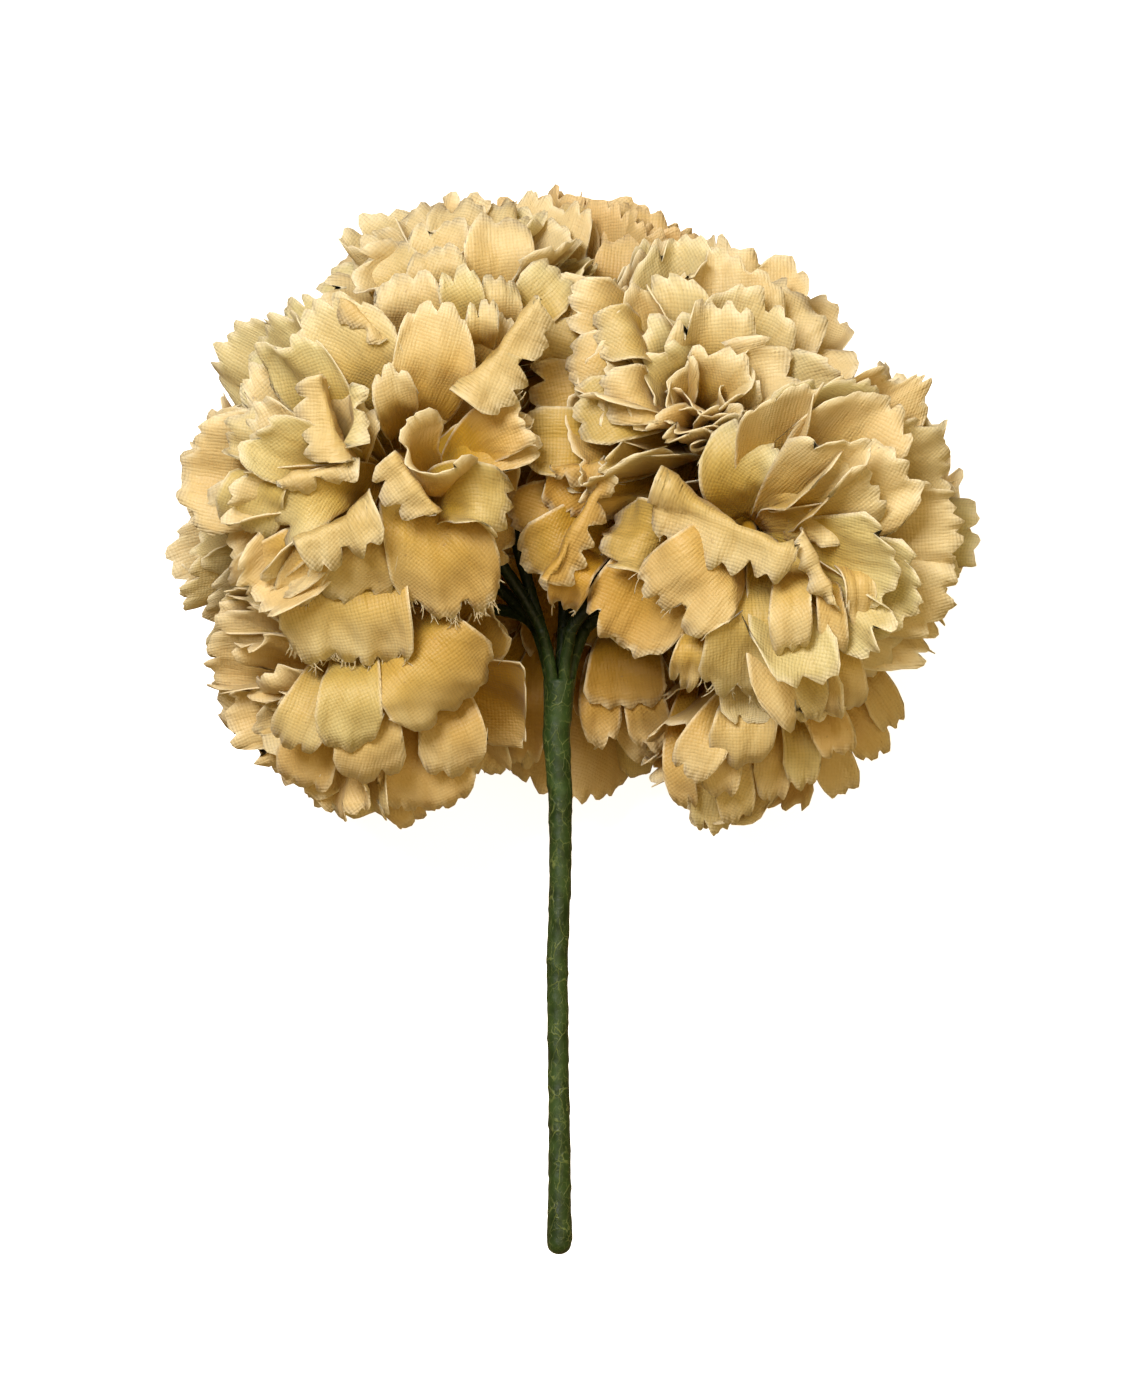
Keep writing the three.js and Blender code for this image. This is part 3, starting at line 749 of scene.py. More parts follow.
def tooth_cut(petal, t):
    """The depth of the cut rim at t, in millimetres: the highest of its rounded teeth."""
    half = 1 / len(petal.teeth)
    heights = [
        tooth.height - petal.tooth_depth * (np.abs(t - tooth.middle) / half) ** tooth.blunt
        for tooth in petal.teeth
    ]
    ragged = RAGGED * np.sin(t * petal.columns * 2.1 + petal.seed)
    return ragged - np.max(heights, axis=0)


def unit(vectors):
    """Vectors of one millimetre that point as the given ones do."""
    return vectors / np.linalg.norm(vectors, axis=-1, keepdims=True)


def curve_through(points):
    """A curve from the first point to the last that is drawn towards those between, made by
    cutting the corners of the line through them."""
    points = np.array(points)
    for _ in range(4):
        first, second = points[:-1], points[1:]
        cuts = np.stack([0.75 * first + 0.25 * second, 0.25 * first + 0.75 * second], axis=1)
        points = np.concatenate([points[:1], cuts.reshape(-1, 3), points[-1:]])
    return points


def ring_spine(petal, flower):
    """Where a ring's petal starts, and the way it runs as it leans out from the bloom's axis."""
    turn = Vector((0, 0, 1)).rotation_difference(flower.facing)
    outward = np.array(turn @ Vector((math.cos(petal.azimuth), math.sin(petal.azimuth), 0)))
    axis = np.array(flower.facing)
    lean = petal.opening + (petal.tip - petal.opening) * SHARES
    runs = np.outer(np.sin(lean), outward) + np.outer(np.cos(lean), axis)
    start = np.array(flower.base) + outward * AXIS_GAP + axis * petal.root
    return start, runs, np.cross(outward, axis)


def laid_spine(petal, flower):
    """Where a listed petal starts, and the way it runs over its bend to its rim."""
    pieces = np.linalg.norm(np.diff(petal.curve, axis=0), axis=1)
    walked = np.concatenate([[0], np.cumsum(pieces)])
    shares = walked / petal.length
    low, high = SHARES - 0.5 / STEPS, SHARES + 0.5 / STEPS
    runs = [
        np.interp(high, shares, petal.curve[:, axis]) - np.interp(low, shares, petal.curve[:, axis])
        for axis in range(3)
    ]
    runs = np.stack(runs, axis=1)
    last = np.linalg.norm(runs, axis=1) > 1e-6
    runs[~last] = runs[last][-1]
    return petal.curve[0], unit(runs), unit(petal.across)


def frames_of(petal, flower):
    """Places along a petal's middle line, and at each the way it runs, the way across it to the
    right and the way that its upper side faces."""
    start, runs, across = petal.spine(petal, flower)
    across = unit(across - runs * (runs @ across)[:, None])
    bend = petal.curl * smooth(*CURLED, SHARES) + petal.lip * smooth(*LIPPED, SHARES)
    faces = np.cross(across, runs)
    runs = runs * np.cos(bend)[:, None] - faces * np.sin(bend)[:, None]
    faces = np.cross(across, runs)
    walked = np.concatenate([np.zeros((1, 3)), np.cumsum(runs, axis=0)])
    places = start + walked * petal.length / STEPS
    return SimpleNamespace(places=places, runs=runs, across=across, faces=faces)


def along_line(shares, values, share):
    """Values that are known at even shares of a line, read at other shares."""
    return np.stack([np.interp(share, shares, values[:, axis]) for axis in range(3)], axis=1)


def across_line(petal, width, t, s):
    """How far the cloth lies beside its middle line and above it, at t across the petal and s
    along it. It is cupped, twisted, waved and rolled, more so towards the rim."""
    side = np.zeros_like(t)
    lift = np.zeros_like(t)
    for i in range(ACROSS_STEPS):
        x = (i + 0.5) / ACROSS_STEPS * t
        wave = petal.ruffle * s * s * np.sin(math.pi * petal.waves * x + petal.phase)
        ripple = petal.ripple * s**4 * np.sin(math.pi * petal.ripples * x + 3 * petal.phase)
        right = petal.roll_right * smooth(*ROLLED_SIDE, x)
        left = petal.roll_left * smooth(*ROLLED_SIDE, -x)
        rolled = (right - left) * smooth(*ROLLED, s)
        slope = petal.twist + petal.cup * x + wave + ripple + rolled
        side = side + np.cos(slope) * width / ACROSS_STEPS
        lift = lift + np.sin(slope) * width / ACROSS_STEPS
    return side, lift


def dents(petal, along, side):
    """Shallow dents in the cloth, in millimetres."""
    broad = np.sin(0.8 * along + petal.seed + 1.4 * np.sin(0.55 * side + 2 * petal.seed))
    fine = np.sin(1.7 * side + 0.5 * along + 3 * petal.seed) * np.sin(0.9 * along + petal.seed)
    return BROAD_DENT * broad + FINE_DENT * fine


def flat_places(petal, s, t):
    """The cloth's points before it is bent: how far along the petal and how far to its right."""
    near_rim = np.clip((s - 1) * petal.length / TOOTHED_STRIP + 1, 0, 1)
    along = s * petal.length * rim_reach(petal, t) - tooth_cut(petal, t) * near_rim
    return along, t * petal.half_width * (ROOT_WIDTH + (1 - ROOT_WIDTH) * s**petal.spreads)


def cloth_places(petal, frames, s, t):
    """The cloth's points at s along the petal and t across it."""
    along, width = flat_places(petal, s, t)
    side, lift = across_line(petal, width, t, s)
    lift = lift + dents(petal, along, width) * smooth(*DENTED, s)
    share = along / petal.length
    places = along_line(EDGES, frames.places, share)
    across = along_line(SHARES, frames.across, share)
    faces = along_line(SHARES, frames.faces, share)
    return places + across * side[:, None] + faces * lift[:, None]


def barrier(normal, point, softness, stacks=True):
    """A plane that petals bend away from, on the side that its normal points to."""
    normal = Vector(normal).normalized()
    return SimpleNamespace(
        normal=np.array(normal), offset=normal.dot(Vector(point)), softness=softness, stacks=stacks
    )


def barriers_of(flower, slack):
    """The planes round a bloom: between it and each neighbour, behind its own petals, the surface
    that the bunch lies on, and the shaft where its petals come near it."""
    found = []
    for other in BLOOMS:
        if other is flower:
            continue
        share = flower.size / (flower.size + other.size)
        between = flower.middle.lerp(other.middle, share)
        found.append(barrier(flower.middle - other.middle, between, CELL_SOFTNESS))
    found.append(barrier(flower.facing, flower.base - flower.facing * slack, slack))
    found.append(barrier((0, 0, 1), (0, 0, FLOOR_Z), FLOOR_SOFTNESS, stacks=False))
    if flower.side:
        beside = Vector((STEM_X, FORK_Y, 0)) + Vector(flower.side) * SHAFT_CLEARANCE
        found.append(barrier(flower.side, beside, SHAFT_SOFTNESS))
    for normal, point in FORK_WALLS.get(flower.name, ()):
        found.append(barrier(normal, point, SHAFT_SOFTNESS))
    return found


def nearest_to(wall, petal):
    """How near a petal may come to a barrier, in millimetres, so that petals stack along it."""
    return CLEARANCE + (petal.layer if wall.stacks else 0)


def bend_clear(places, petal, flower, barriers):
    """Bends a petal's points clear of every barrier. Cloth that is pushed back slides along it."""
    facing = np.array(flower.facing)
    for wall in barriers:
        nearest = nearest_to(wall, petal)
        room = wall.softness - nearest
        distance = places @ wall.normal - wall.offset
        soft = nearest + room * np.exp((distance - wall.softness) / room)
        pushed = np.where(distance >= wall.softness, 0, soft - distance)
        slide = facing - wall.normal * facing.dot(wall.normal)
        places = places + pushed[:, None] * (wall.normal + SLIDE * slide)
    for _ in range(PASSES):
        for wall in barriers:
            distance = places @ wall.normal - wall.offset
            short = np.maximum(nearest_to(wall, petal) - distance, 0)
            places = places + short[:, None] * wall.normal
    return places


def petal_rows(petal):
    """How far along the petal each row of points lies: closer towards the rim, with the last row
    on the cut edge."""
    inner = 1 - TOOTHED_STRIP / petal.length
    shares = [1 - (1 - i / (petal.rows - 1)) ** ROWS_CROWD for i in range(petal.rows)]
    return np.array([ROOT_START + (inner - ROOT_START) * share for share in shares] + [1.0])


def add_grid(mesh, columns, rows):
    """A grid of cloth, with its points and, for each, how far along and across the grid it is."""
    made = bmesh.ops.create_grid(mesh, x_segments=columns, y_segments=rows, size=1)
    corners = made["verts"]
    flat = np.array([corner.co for corner in corners])
    for face in {face for corner in corners for face in corner.link_faces}:
        face.smooth = True
    return corners, flat[:, 1], flat[:, 0]


def set_cloth(corners, layers, petal, places, pattern, s, to_cut):
    """Moves a grid's points to their places, in millimetres, and writes what the cloth's material
    reads: the place on the bolt of cloth, the share of the petal's length and the distance from
    the cut edge."""
    from_heart = np.linalg.norm(places - np.array(HEART), axis=1)
    # How deep in the ball the cloth lies, which sets its painted shade
    hollow = 1 - smooth(HOLLOW_RADIUS, OPEN_RADIUS, from_heart)
    tone = draw(petal.seed + 21)
    for corner, place, along, inside, away in zip(corners, places * MM, s, hollow, to_cut):
        corner.co = place
        corner[layers.edge] = max(0, 1 - away / EDGE_WIDTH)
        corner[layers.deep] = 1 - along
        corner[layers.hollow] = inside
        corner[layers.tone] = tone
    flat_place = {corner: place for corner, place in zip(corners, pattern)}
    for face in {face for corner in corners for face in corner.link_faces}:
        for loop in face.loops:
            loop[layers.weave].uv = flat_place[loop.vert]


def woven_places(petal, along, width):
    """Where the cloth's points lie on the bolt that the petal was cut from, with the weave a
    little askew on the petal."""
    bias = MOST_BIAS * about(petal.seed, 23)
    across = width * math.cos(bias) + along * math.sin(bias)
    up = along * math.cos(bias) - width * math.sin(bias)
    return np.stack([across, up], axis=1)


def add_petal(mesh, layers, petal, flower):
    """Adds one petal to a bloom's mesh: a grid of cloth, spread as a fan and bent to its shape."""
    corners, up, t = add_grid(mesh, petal.columns, petal.rows)
    s = petal_rows(petal)[np.rint((up + 1) / 2 * petal.rows).astype(int)]
    frames = frames_of(petal, flower)
    places = cloth_places(petal, frames, s, t)
    if petal.slack is not None:
        free = places
        places = bend_clear(free, petal, flower, barriers_of(flower, petal.slack))
        moved = np.linalg.norm(places - free, axis=1)[s > RIM_SHARE].mean()
        if moved > MOST_BENT:
            bmesh.ops.delete(mesh, geom=corners, context="VERTS")
            return
    pattern = woven_places(petal, *flat_places(petal, s, t))
    to_cut = np.minimum((1 - s) * petal.length, (1 - np.abs(t)) * petal.half_width)
    set_cloth(corners, layers, petal, places + np.array(HEART), pattern, s, to_cut)
    for number in range(petal.frayed):
        add_thread(mesh, layers, petal, frames, number)


def add_thread(mesh, layers, petal, frames, number):
    """Adds a loose thread that hangs from a petal's cut rim."""
    seed = petal.seed + 40 * number
    corners, up, t = add_grid(mesh, 1, THREAD_STEPS)
    s = (up + 1) / 2
    aside = np.array([THREAD_ASIDE * about(seed, 51)])
    root = cloth_places(petal, frames, np.array([THREAD_ROOT]), aside)[0]
    run, across, face = (
        values[STEPS - 1] for values in (frames.runs, frames.across, frames.faces)
    )
    lean = THREAD_LEAN_ACROSS * about(seed, 52) * across + THREAD_LEAN_OUT * about(seed, 53) * face
    length = THREAD_SHORTEST + THREAD_LONGER * draw(seed + 54) ** 2
    bow = THREAD_BOW * about(seed, 55) * length
    places = root + np.outer(s * length, unit(run + lean)) + np.outer(s * s * bow, across)
    places = places + np.outer(t * THREAD_HALF_WIDTH, across)
    pattern = np.stack([t * THREAD_HALF_WIDTH, s * length], axis=1)
    edge = np.zeros_like(s)
    set_cloth(corners, layers, petal, places + np.array(HEART), pattern, np.ones_like(s), edge)


def add_heart(mesh, layers, flower):
    """The small cone of cloth that the petals are gathered on."""
    made = bmesh.ops.create_cone(
        mesh,
        cap_ends=True,
        segments=CONE_SIDES,
        radius1=CONE_FOOT_R * MM,
        radius2=CONE_TIP_R * MM,
        depth=CONE_HEIGHT * MM,
    )
    turn = Vector((0, 0, 1)).rotation_difference(flower.facing)
    for corner in made["verts"]:
        corner.co = turn @ corner.co + (HEART + flower.base + flower.facing * CONE_MIDDLE) * MM
        # The cone lies deep in the bloom and takes the full painted shade
        corner[layers.deep] = 1
        corner[layers.hollow] = 1


def bloom_mesh(settings, flower, number):
    """All the petals of one bloom, as sheets without thickness."""
    mesh = bmesh.new()
    kinds = mesh.verts.layers.float
    layers = SimpleNamespace(**{name: kinds.new(name) for name in CLOTH_VALUES})
    layers.weave = mesh.loops.layers.uv.new("weave")
    for petal in petals_of(settings, flower, number):
        add_petal(mesh, layers, petal, flower)
    add_heart(mesh, layers, flower)
    return mesh


def finished(name, mesh, materials):
    """An object made from a bmesh, with its materials, linked to the scene."""
    data = bpy.data.meshes.new(name)
    mesh.to_mesh(data)
    mesh.free()
    for material in materials:
        data.materials.append(material)
    piece = bpy.data.objects.new(name, data)
    bpy.context.collection.objects.link(piece)
    return piece


# Materials


def put(tree, socket, value):
    """Links a socket to another, or sets its value."""
    if isinstance(value, bpy.types.NodeSocket):
        tree.links.new(value, socket)
    elif value is not None:
        socket.default_value = value


def node(tree, kind, inputs=None, **settings):
    """A new node with its settings, and its inputs by name linked or set."""
    made = tree.nodes.new(kind)
    for name, value in settings.items():
        setattr(made, name, value)
    for name, value in (inputs or {}).items():
        put(tree, made.inputs[name], value)
    return made


def mixed(tree, share, first, second, blend="MIX"):
    """Two colours mixed by a share from 0 to 1."""
    made = node(tree, "ShaderNodeMix", data_type="RGBA", blend_type=blend)
    put(tree, made.inputs[0], share)
    put(tree, made.inputs[6], first)
    put(tree, made.inputs[7], second)
    return made.outputs[2]


def maths(tree, operation, first, second=None, third=None):
    """A sum on one, two or three numbers."""
    made = node(tree, "ShaderNodeMath", operation=operation)
    for socket, value in zip(made.inputs, (first, second, third)):
        put(tree, socket, value)
    return made.outputs[0]


def spread(tree, value, low, high, to_low=0.0, to_high=1.0):
    """A number moved from one range to another, and kept within it."""
    inputs = {"Value": value, "From Min": low, "From Max": high}
    inputs.update({"To Min": to_low, "To Max": to_high})
    return node(tree, "ShaderNodeMapRange", inputs, clamp=True).outputs["Result"]


def attribute(tree, name):
    """A value that the mesh holds for each of its points."""
    return node(tree, "ShaderNodeAttribute", attribute_name=name).outputs["Fac"]


def noise(tree, vector, scale, detail=3.0, roughness=0.5):
    """Noise from 0 to 1."""
    inputs = {"Vector": vector, "Scale": scale, "Detail": detail, "Roughness": roughness}
    return node(tree, "ShaderNodeTexNoise", inputs).outputs["Fac"]


def multiplied(tree, first, second, share=1.0):
    """A colour multiplied by another, by a share from 0 to 1."""
    return mixed(tree, share, first, second, "MULTIPLY")


def alike(tree, value):
    """A vector or a grey of one number three times."""
    made = node(tree, "ShaderNodeCombineXYZ", {"X": value, "Y": value, "Z": value})
    return made.outputs["Vector"]


def raised(tree, height, distance, strength, normal=None):
    """The normal of a surface that stands out by a height from 0 to 1 times a distance."""
    inputs = {"Height": height, "Distance": distance, "Strength": strength, "Normal": normal}
    return node(tree, "ShaderNodeBump", inputs).outputs["Normal"]


def new_group(name, inputs, outputs):
    """An empty node group, with its inputs and outputs by name and kind."""
    kinds = {"float": "NodeSocketFloat", "vector": "NodeSocketVector"}
    tree = bpy.data.node_groups.new(name, "ShaderNodeTree")
    for sockets, way in ((inputs, "INPUT"), (outputs, "OUTPUT")):
        for socket, kind in sockets.items():
            tree.interface.new_socket(socket, in_out=way, socket_type=kinds[kind])
    return tree, tree.nodes.new("NodeGroupInput").outputs, tree.nodes.new("NodeGroupOutput").inputs


def plain_weave_group():
    """Threads that cross at right angles. Height is 1 on a thread and 0 in the gaps."""
    inputs = {"Vector": "vector", "Threads": "float", "Unevenness": "float"}
    tree, given, result = new_group("Plain weave", inputs, {"Height": "float"})
    drift = maths(tree, "SUBTRACT", noise(tree, given["Vector"], 0.35, 2.0), 0.5)
    drift = maths(tree, "MULTIPLY", drift, given["Unevenness"])
    split = node(tree, "ShaderNodeSeparateXYZ", {"Vector": given["Vector"]}).outputs
    half_turns = maths(tree, "MULTIPLY", given["Threads"], math.pi)
    warp, weft = (
        maths(tree, "ABSOLUTE", maths(tree, "SINE", maths(tree, "MULTIPLY", place, half_turns)))
        for place in (maths(tree, "ADD", split[axis], drift) for axis in "XY")
    )
    weft = maths(tree, "MULTIPLY", weft, 1 - WARP_SHARE)
    put(tree, result["Height"], maths(tree, "MULTIPLY_ADD", warp, WARP_SHARE, weft))
    return tree


def blotch_group():
    """Slow changes of tone, and rare small specks, over a surface."""
    inputs = {"Vector": "vector", "Size": "float"}
    tree, given, result = new_group("Blotches", inputs, {"Tone": "float", "Speck": "float"})
    scale = maths(tree, "DIVIDE", 1.0, given["Size"])
    put(tree, result["Tone"], noise(tree, given["Vector"], scale, 4.0, 0.55))
    fine = noise(tree, given["Vector"], maths(tree, "MULTIPLY", scale, 14.0), 1.0)
    put(tree, result["Speck"], spread(tree, fine, 0.74, 0.8))
    return tree


def pleat_group():
    """Fine pleats that fan out from a petal's root, from its flat pattern in millimetres."""
    inputs = {"Vector": "vector", "Tone": "float"}
    tree, given, result = new_group("Petal pleats", inputs, {"Height": "float"})
    split = node(tree, "ShaderNodeSeparateXYZ", {"Vector": given["Vector"]}).outputs
    angle = maths(tree, "ARCTAN2", split["X"], split["Y"])
    length = node(tree, "ShaderNodeVectorMath", {"Vector": given["Vector"]}, operation="LENGTH")
    fan = {
        "X": maths(tree, "MULTIPLY", angle, PLEATS),
        "Y": maths(tree, "MULTIPLY", length.outputs["Value"], PLEAT_DRIFT),
        "Z": maths(tree, "MULTIPLY", given["Tone"], 60.0),
    }
    place = node(tree, "ShaderNodeCombineXYZ", fan).outputs["Vector"]
    put(tree, result["Height"], noise(tree, place, 1.0, 4.0, 0.6))
    return tree


def new_material(name):
    """An empty material, with its nodes and its output's surface."""
    material = bpy.data.materials.new(name)
    material.use_nodes = True
    tree = material.node_tree
    tree.nodes.clear()
    return material, tree, tree.nodes.new("ShaderNodeOutputMaterial").inputs["Surface"]


def group_node(tree, group, inputs):
    """A node group's outputs for some inputs."""
    made = tree.nodes.new("ShaderNodeGroup")
    made.node_tree = group
    for name, value in inputs.items():
        put(tree, made.inputs[name], value)
    return made.outputs


def cloth_values(tree, settings, groups):
    """What the cloth's nodes read: the values of its petal, and its weave, pleats and blotches."""
    weave_place = node(tree, "ShaderNodeUVMap", uv_map="weave").outputs["UV"]
    place = node(tree, "ShaderNodeTexCoord").outputs["Object"]
    read = SimpleNamespace(place=place, **{name: attribute(tree, name) for name in CLOTH_VALUES})
    threads = MM / settings.thread_pitch
    weave = {"Vector": weave_place, "Threads": threads, "Unevenness": WEAVE_UNEVENNESS}
    read.weave = group_node(tree, groups.weave, weave)["Height"]
    pleats = {"Vector": weave_place, "Tone": read.tone}
    read.pleats = group_node(tree, groups.pleats, pleats)["Height"]
    read.blotch = group_node(tree, groups.blotch, {"Vector": place, "Size": CLOTH_BLOTCH})
    return read


def dyed_and_shaded_cloth(tree, settings, read):
    """Old gold, paler in blotches, and paler towards the rim, partly as the cloth's own fading and
    partly as a painted highlight. Painted shade makes it darker and warmer between the pleats,
    towards the root and in the hollows. Some petals have a greenish cast, and some a warmer one."""
    # Paler towards the rim, partly the cloth's own fading and partly a painted highlight
    rim_fade_and_highlight = spread(tree, read.deep, 0.5, 0.0, 0.0, 0.85)
    fade_and_fork_shade = spread(tree, read.blotch["Tone"], 0.35, 0.7, 0.0, 0.4)
    # Painted shade between the pleats
    between = spread(tree, read.pleats, 0.62, 0.35, 0.0, 0.22)
    # Painted shade towards the root and in the hollows of the ball
    inside = maths(tree, "MULTIPLY", read.deep, 0.45)
    inside = maths(tree, "ADD", inside, maths(tree, "MULTIPLY", read.hollow, 0.75))
    body = mixed(tree, rim_fade_and_highlight, settings.cloth_colour, settings.pale_and_highlight_colour)
    body = mixed(tree, fade_and_fork_shade, body, settings.pale_and_highlight_colour)
    body = mixed(tree, between, body, settings.painted_shade_colour)
    body = mixed(tree, spread(tree, inside, 0.1, 1.0), body, settings.painted_shade_colour)
    body = multiplied(tree, body, settings.green_cast, spread(tree, read.tone, 0.6, 1.0))
    return multiplied(tree, body, settings.warm_cast, spread(tree, read.tone, 0.35, 0.0))


def worn_and_shaded_cloth(tree, settings, read, body, shade, edge_only):
    """Adds the pale cut edge, the painted shade between the threads, which some petals hardly show,
    the specks and the painted shade that darkens a whole bloom."""
    worn = spread(tree, noise(tree, read.place, 900.0, 2.0), 0.35, 0.6, 0.35, 0.85)
    rim = maths(tree, "MULTIPLY", spread(tree, read.edge, 0.35, 0.95), worn)
    body = mixed(tree, 1.0 if edge_only else rim, body, settings.edge_colour)
    # Painted shade between the threads of the weave
    gaps = multiplied(tree, body, spread(tree, read.weave, 0.2, 0.75, 0.86, 1.0))
    body = mixed(tree, spread(tree, read.tone, 0.2, 0.7, 0.1, 0.9), body, gaps)
    specks = maths(tree, "MULTIPLY", read.blotch["Speck"], 0.4)
    body = mixed(tree, specks, body, settings.speck_colour)
    # Painted shade over the whole bloom, as much as its shade
    return multiplied(tree, body, settings.bloom_shade_colour, shade)


def cloth_material(settings, groups, name, shade, edge_only=False):
    """Woven cloth, pleated, pale at its cut edge and lit through a little."""
    material, tree, output = new_material(name)
    read = cloth_values(tree, settings, groups)
    body = dyed_and_shaded_cloth(tree, settings, read)
    body = worn_and_shaded_cloth(tree, settings, read, body, shade, edge_only)
    normal = raised(tree, read.pleats, PLEAT_HEIGHT, settings.pleat_relief)
    normal = raised(tree, read.weave, THREAD_HEIGHT, settings.weave_relief, normal)
    finish = {
        "Base Color": body,
        "Roughness": 0.5,
        "Specular IOR Level": 0.5,
        "Sheen Weight": 0.1,
        "Sheen Roughness": 0.4,
        "Normal": normal,
    }
    surface = node(tree, "ShaderNodeBsdfPrincipled", finish)
    through = node(tree, "ShaderNodeBsdfTranslucent", {"Color": body, "Normal": normal})
    both = node(tree, "ShaderNodeMixShader", {"Fac": settings.light_through})
    put(tree, both.inputs[1], surface.outputs["BSDF"])
    put(tree, both.inputs[2], through.outputs["BSDF"])
    put(tree, output, both.outputs["Shader"])
    return material


def tape_veins(tree, place):
    """The tape's paler veins, a coarse and a finer net of broken lines, 1 on a vein."""
    warp = alike(tree, noise(tree, place, 700.0, 2.0))
    slant = {"Vector": place, "Rotation": (0.5, 0.3, 0.6), "Scale": (1, 0.55, 1)}
    bent = node(tree, "ShaderNodeVectorMath", operation="MULTIPLY_ADD")
    put(tree, bent.inputs[0], warp)
    put(tree, bent.inputs[1], (VEIN_BEND, VEIN_BEND, VEIN_BEND))
    put(tree, bent.inputs[2], node(tree, "ShaderNodeMapping", slant).outputs["Vector"])
    nets = []
    for scale, width, share in VEINS:
        inputs = {"Vector": bent.outputs["Vector"], "Scale": scale}
        cells = node(tree, "ShaderNodeTexVoronoi", inputs, feature="DISTANCE_TO_EDGE")
        line = spread(tree, cells.outputs["Distance"], width, 0.0)
        shown = spread(tree, noise(tree, place, 0.8 * scale, 2.0), 0.4, 0.56, 0.0, share)
        nets.append(maths(tree, "MULTIPLY", line, shown))
    return maths(tree, "MAXIMUM", *nets)


def tape_material(settings, groups):
    """Dark green waxed tape with paler veins where it was stretched and creased, and painted shade
    that darkens it from the fork up between the blooms."""
    material, tree, output = new_material("Floral tape")
    place = node(tree, "ShaderNodeTexCoord").outputs["Object"]
    tone = group_node(tree, groups.blotch, {"Vector": place, "Size": TAPE_BLOTCH})["Tone"]
    vein = tape_veins(tree, place)
    patches = spread(tree, tone, 0.35, 0.65)
    colour = mixed(tree, patches, settings.tape_dark, settings.tape_colour)
    colour = mixed(tree, maths(tree, "MULTIPLY", vein, 0.45), colour, settings.tape_vein)
    up = node(tree, "ShaderNodeSeparateXYZ", {"Vector": place}).outputs["Y"]
    fork = (HEART.y + FORK_Y) * MM
    # Painted shade, darker from the fork up towards the blooms
    fade_and_fork_shade = spread(tree, up, fork + FORK_SHADE_REACH, fork, 0.3, 1.0)
    height = maths(tree, "MULTIPLY", vein, 0.6)
    height = maths(tree, "ADD", height, noise(tree, place, 1500.0, 3.0))
    finish = {
        "Base Color": multiplied(tree, colour, alike(tree, fade_and_fork_shade)),
        "Roughness": spread(tree, tone, 0.3, 0.7, 0.42, 0.6),
        "Specular IOR Level": 0.3,
        "Normal": raised(tree, height, VEIN_HEIGHT, 0.6),
    }
    put(tree, output, node(tree, "ShaderNodeBsdfPrincipled", finish).outputs["BSDF"])
    return material


def wire_material():
    """Drawn steel wire, faintly scratched along its length."""
    material, tree, output = new_material("Stem wire")
    place = node(tree, "ShaderNodeTexCoord").outputs["Object"]
    along = node(tree, "ShaderNodeMapping", {"Vector": place, "Scale": (4000, 150, 4000)})
    scratch = noise(tree, along.outputs["Vector"], 1.0, 2.0)
    finish = {
        "Base Color": mixed(tree, scratch, WIRE_DARK, WIRE_PALE),
        "Metallic": 1.0,
        "Roughness": spread(tree, scratch, 0.3, 0.7, 0.3, 0.5),
    }
    put(tree, output, node(tree, "ShaderNodeBsdfPrincipled", finish).outputs["BSDF"])
    return material


# Taped stems


def on_ring(angle, radius, y):
    """A place round the stem's axis at a height along Y, in the frame."""
    return HEART + Vector((STEM_X + radius * math.sin(angle), y, radius * math.cos(angle)))


def bezier(points, steps):
    """Evenly spaced places along a Bezier curve of three or four points."""
    found = []
    for i in range(steps + 1):
        level = list(points)
        while len(level) > 1:
            level = [a.lerp(b, i / steps) for a, b in zip(level, level[1:])]
        found.append(level[0])
    return found


def wrap_relief(angle, along, seed):
    """The tape's laps: each turn rises slowly to its edge and drops to the turn below."""
    waver = LAP_WAVER * math.sin(along * 1.7 + seed)
    slant = along / LAP_PITCH + angle / (2 * math.pi) + waver
    lap = slant - math.floor(slant)
    crease = math.sin(2 * angle + along * 0.9 + seed) * math.sin(along * 2.3 + 1.3 * seed)
    return LAP_HEIGHT * lap**3 + CREASE_HEIGHT * crease


def place_key(corner):
    """A point's place, rounded, to find the same place again."""
    return tuple(round(x, 9) for x in corner.co)


def extruded_ring(mesh, loop, edges):
    """Extrudes an open end's edges, and gives the new points in the same order and their edges."""
    fresh = bmesh.ops.extrude_edge_only(mesh, edges=edges)["geom"]
    by_place = {place_key(item): item for item in fresh if isinstance(item, bmesh.types.BMVert)}
    loop = [by_place[place_key(corner)] for corner in loop]
    edges = [
        item
        for item in fresh
        if isinstance(item, bmesh.types.BMEdge) and all(corner in loop for corner in item.verts)
    ]
    return loop, edges


def sweep(mesh, path, radii, sides, seed):
    """Sweeps a taped tube along a path in millimetres, with round ends."""
    spots = [Vector(point) for point in path]
    loop = bmesh.ops.create_circle(mesh, cap_ends=True, segments=sides, radius=1)["verts"]
    edges = list({edge for corner in loop for edge in corner.link_edges})
    across = Vector((0, 0, 1)).cross((spots[1] - spots[0]).normalized()).normalized()
    along = 0.0
    for i, spot in enumerate(spots):
        ahead = spots[min(i + 1, len(spots) - 1)] - spots[max(i - 1, 0)]
        ahead.normalize()
        across = (across - ahead * across.dot(ahead)).normalized()
        up = ahead.cross(across)
        if i:
            along += (spot - spots[i - 1]).length
            loop, edges = extruded_ring(mesh, loop, edges)
        for k, corner in enumerate(loop):
            angle = 2 * math.pi * k / sides
            radius = radii[i] + min(1, radii[i]) * wrap_relief(angle, along, seed)
            corner.co = (spot + (across * math.cos(angle) + up * math.sin(angle)) * radius) * MM
    bmesh.ops.contextual_create(mesh, geom=loop)


